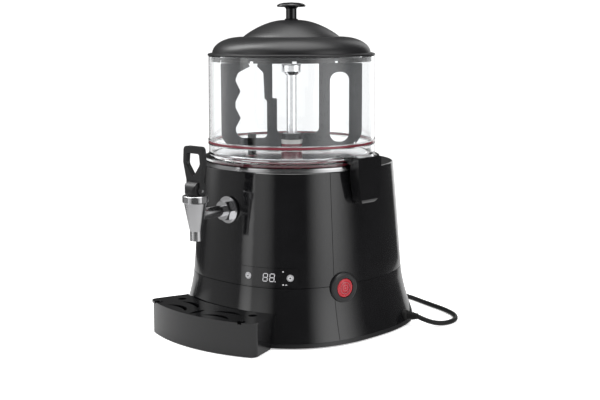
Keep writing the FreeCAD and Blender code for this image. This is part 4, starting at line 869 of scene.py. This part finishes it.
# ---- stage ----------------------------------------------------------------------------
class BuildStage(bpy.types.Operator):
    """Set out the pale floor, the soft lights and the camera"""
    bl_idname = "dispenser.stage"
    bl_label = "Stage"

    def floor(self, context):
        """A floor that shines in the steel, and beyond it a sweep up into a pale wall all round."""
        finish = studio_floor("studio_floor_finish", tuple(context.scene.dispenser_finish.floor))
        rise = [(2.6 + 0.9 * math.sin(a), 0.9 - 0.9 * math.cos(a)) for a in
                (math.pi / 2 * step / 12 for step in range(13))]
        for name, outline, shiny in (("studio_floor", [(0.0, 0.0), (0.66, 0.0)], True),
                                     ("studio_wall", [(0.66, 0.0)] + rise + [(3.5, 4.0)], False)):
            work = bmesh.new()
            rings = [[work.verts.new((radius * math.cos(a), radius * math.sin(a), height))
                      for a in (2 * math.pi * step / 96 for step in range(96))] for radius, height in outline]
            for low, high in zip(rings, rings[1:]):
                for step in range(96):
                    work.faces.new((low[step - 1], low[step], high[step], high[step - 1]))
            mesh = mesh_of(work, name)
            mesh.polygons.foreach_set("use_smooth", [True] * len(mesh.polygons))
            mesh.materials.append(finish)
            floor = bpy.data.objects.new(name, mesh)
            context.scene.collection.objects.link(floor)
            floor.visible_glossy = shiny

    def light(self, name, azimuth, distance, low, high, width, radiance, soft=(1.0, 0.5)):
        """Upright softbox that faces the object and fades towards its edges."""
        data = bpy.data.lights.new(name, "AREA")
        data.shape = "RECTANGLE"
        data.size, data.size_y = width, high - low
        power = bpy.context.scene.dispenser_sizes.light_power
        data.energy = math.pi * width * (high - low) * radiance * power
        data.use_nodes = True
        shade = Nodes(data.node_tree, "Emission")
        across, along, _ = shade.split(shade.node("ShaderNodeNewGeometry").outputs["Parametric"])
        fade = (4.0 * across * (1.0 - across)).power(soft[0]) * (4.0 * along * (1.0 - along)).power(soft[1])
        shade.into("Color", shade.blend(fade, (0.0, 0.0, 0.0), (1.0, 1.0, 1.0)))
        lamp = bpy.data.objects.new(name, data)
        angle = math.radians(azimuth)
        place = Vector((distance * math.cos(angle), distance * math.sin(angle), (low + high) / 2))
        lamp.location = place
        lamp.rotation_euler = Vector((-place.x, -place.y, 0)).to_track_quat("-Z", "Y").to_euler()
        bpy.context.scene.collection.objects.link(lamp)
        return lamp

    def execute(self, context):
        self.floor(context)
        self.light("softbox_left", -97.0, 2.0, -0.5, 2.2, 1.7, 0.95)
        self.light("softbox_side", -142.0, 2.1, -0.5, 2.2, 1.7, 0.33, (0.6, 0.5))
        self.light("strip_left", -113.0, 1.9, -0.5, 2.2, 0.5, 1.4, (0.35, 0.5))
        self.light("softbox_right", 7.0, 2.0, -0.5, 2.2, 2.8, 1.9, (2.2, 0.5))
        self.light("strip_right", 108.0, 2.0, -0.5, 2.0, 0.8, 1.3)
        self.light("softbox_rear", -160.0, 2.2, 0.0, 2.0, 1.4, 0.8)
        for name, x, y, wide, deep, radiance in (("overhead", 0.1, 0.0, 2.6, 2.6, 3.6),
                                                 ("overhead_left", -1.7, -0.6, 1.3, 2.4, 8.0)):
            lamp = self.light(name, 0.0, 1.0, 0.0, deep, wide, radiance, (0.5, 0.5))
            lamp.location = (x, y, 2.5)
            lamp.rotation_euler = (Vector((0, 0, 0.3)) - lamp.location).to_track_quat("-Z", "Y").to_euler()
        world = bpy.data.worlds.new("studio")
        world.use_nodes = True
        world.node_tree.nodes["Background"].inputs["Color"].default_value = (1, 1, 1, 1)
        world.node_tree.nodes["Background"].inputs["Strength"].default_value = 0.07
        context.scene.world = world
        context.scene.view_settings.view_transform = "Standard"
        self.camera(context)
        return {"FINISHED"}

    def camera(self, context):
        data = bpy.data.cameras.new("camera")
        data.lens, data.sensor_width = 68.76, 36.0
        camera = bpy.data.objects.new("camera", data)
        turn = Matrix.Rotation(math.radians(42.594), 4, "Z")
        tip = Matrix.Rotation(math.radians(90.0 - 8.879), 4, "X")
        roll = Matrix.Rotation(math.radians(-0.158), 4, "Z")
        camera.matrix_world = Matrix.Translation((1.1438, -1.2166, 0.44325)) @ turn @ tip @ roll
        context.scene.collection.objects.link(camera)
        context.scene.camera = camera


class DispenserPanel(bpy.types.Panel):
    """Settings and steps of the dispenser"""
    bl_idname = "VIEW3D_PT_dispenser"
    bl_label = "Dispenser"
    bl_space_type = "VIEW_3D"
    bl_region_type = "UI"
    bl_category = "Dispenser"

    def draw(self, context):
        for group in (context.scene.dispenser_finish, context.scene.dispenser_sizes):
            box = self.layout.box()
            for key in group.bl_rna.properties.keys():
                if key not in ("rna_type", "name"):
                    box.prop(group, key)
        for step in STEPS:
            self.layout.operator(step.bl_idname)


STEPS = (BuildStage, BuildCord, BuildHousing, BuildTank, BuildLid, BuildStirrer, BuildTap, BuildTray,
         BuildControls, BuildLatch)
CLASSES = (DispenserFinish, DispenserSizes) + STEPS + (DispenserPanel,)


def register():
    for cls in CLASSES:
        bpy.utils.register_class(cls)
    bpy.types.Scene.dispenser_finish = PointerProperty(type=DispenserFinish)
    bpy.types.Scene.dispenser_sizes = PointerProperty(type=DispenserSizes)


def unregister():
    del bpy.types.Scene.dispenser_finish
    del bpy.types.Scene.dispenser_sizes
    for cls in reversed(CLASSES):
        bpy.utils.unregister_class(cls)


def main():
    register()
    for step in STEPS:
        group, name = step.bl_idname.split(".")
        getattr(getattr(bpy.ops, group), name)()


if __name__ == "__main__":
    main()
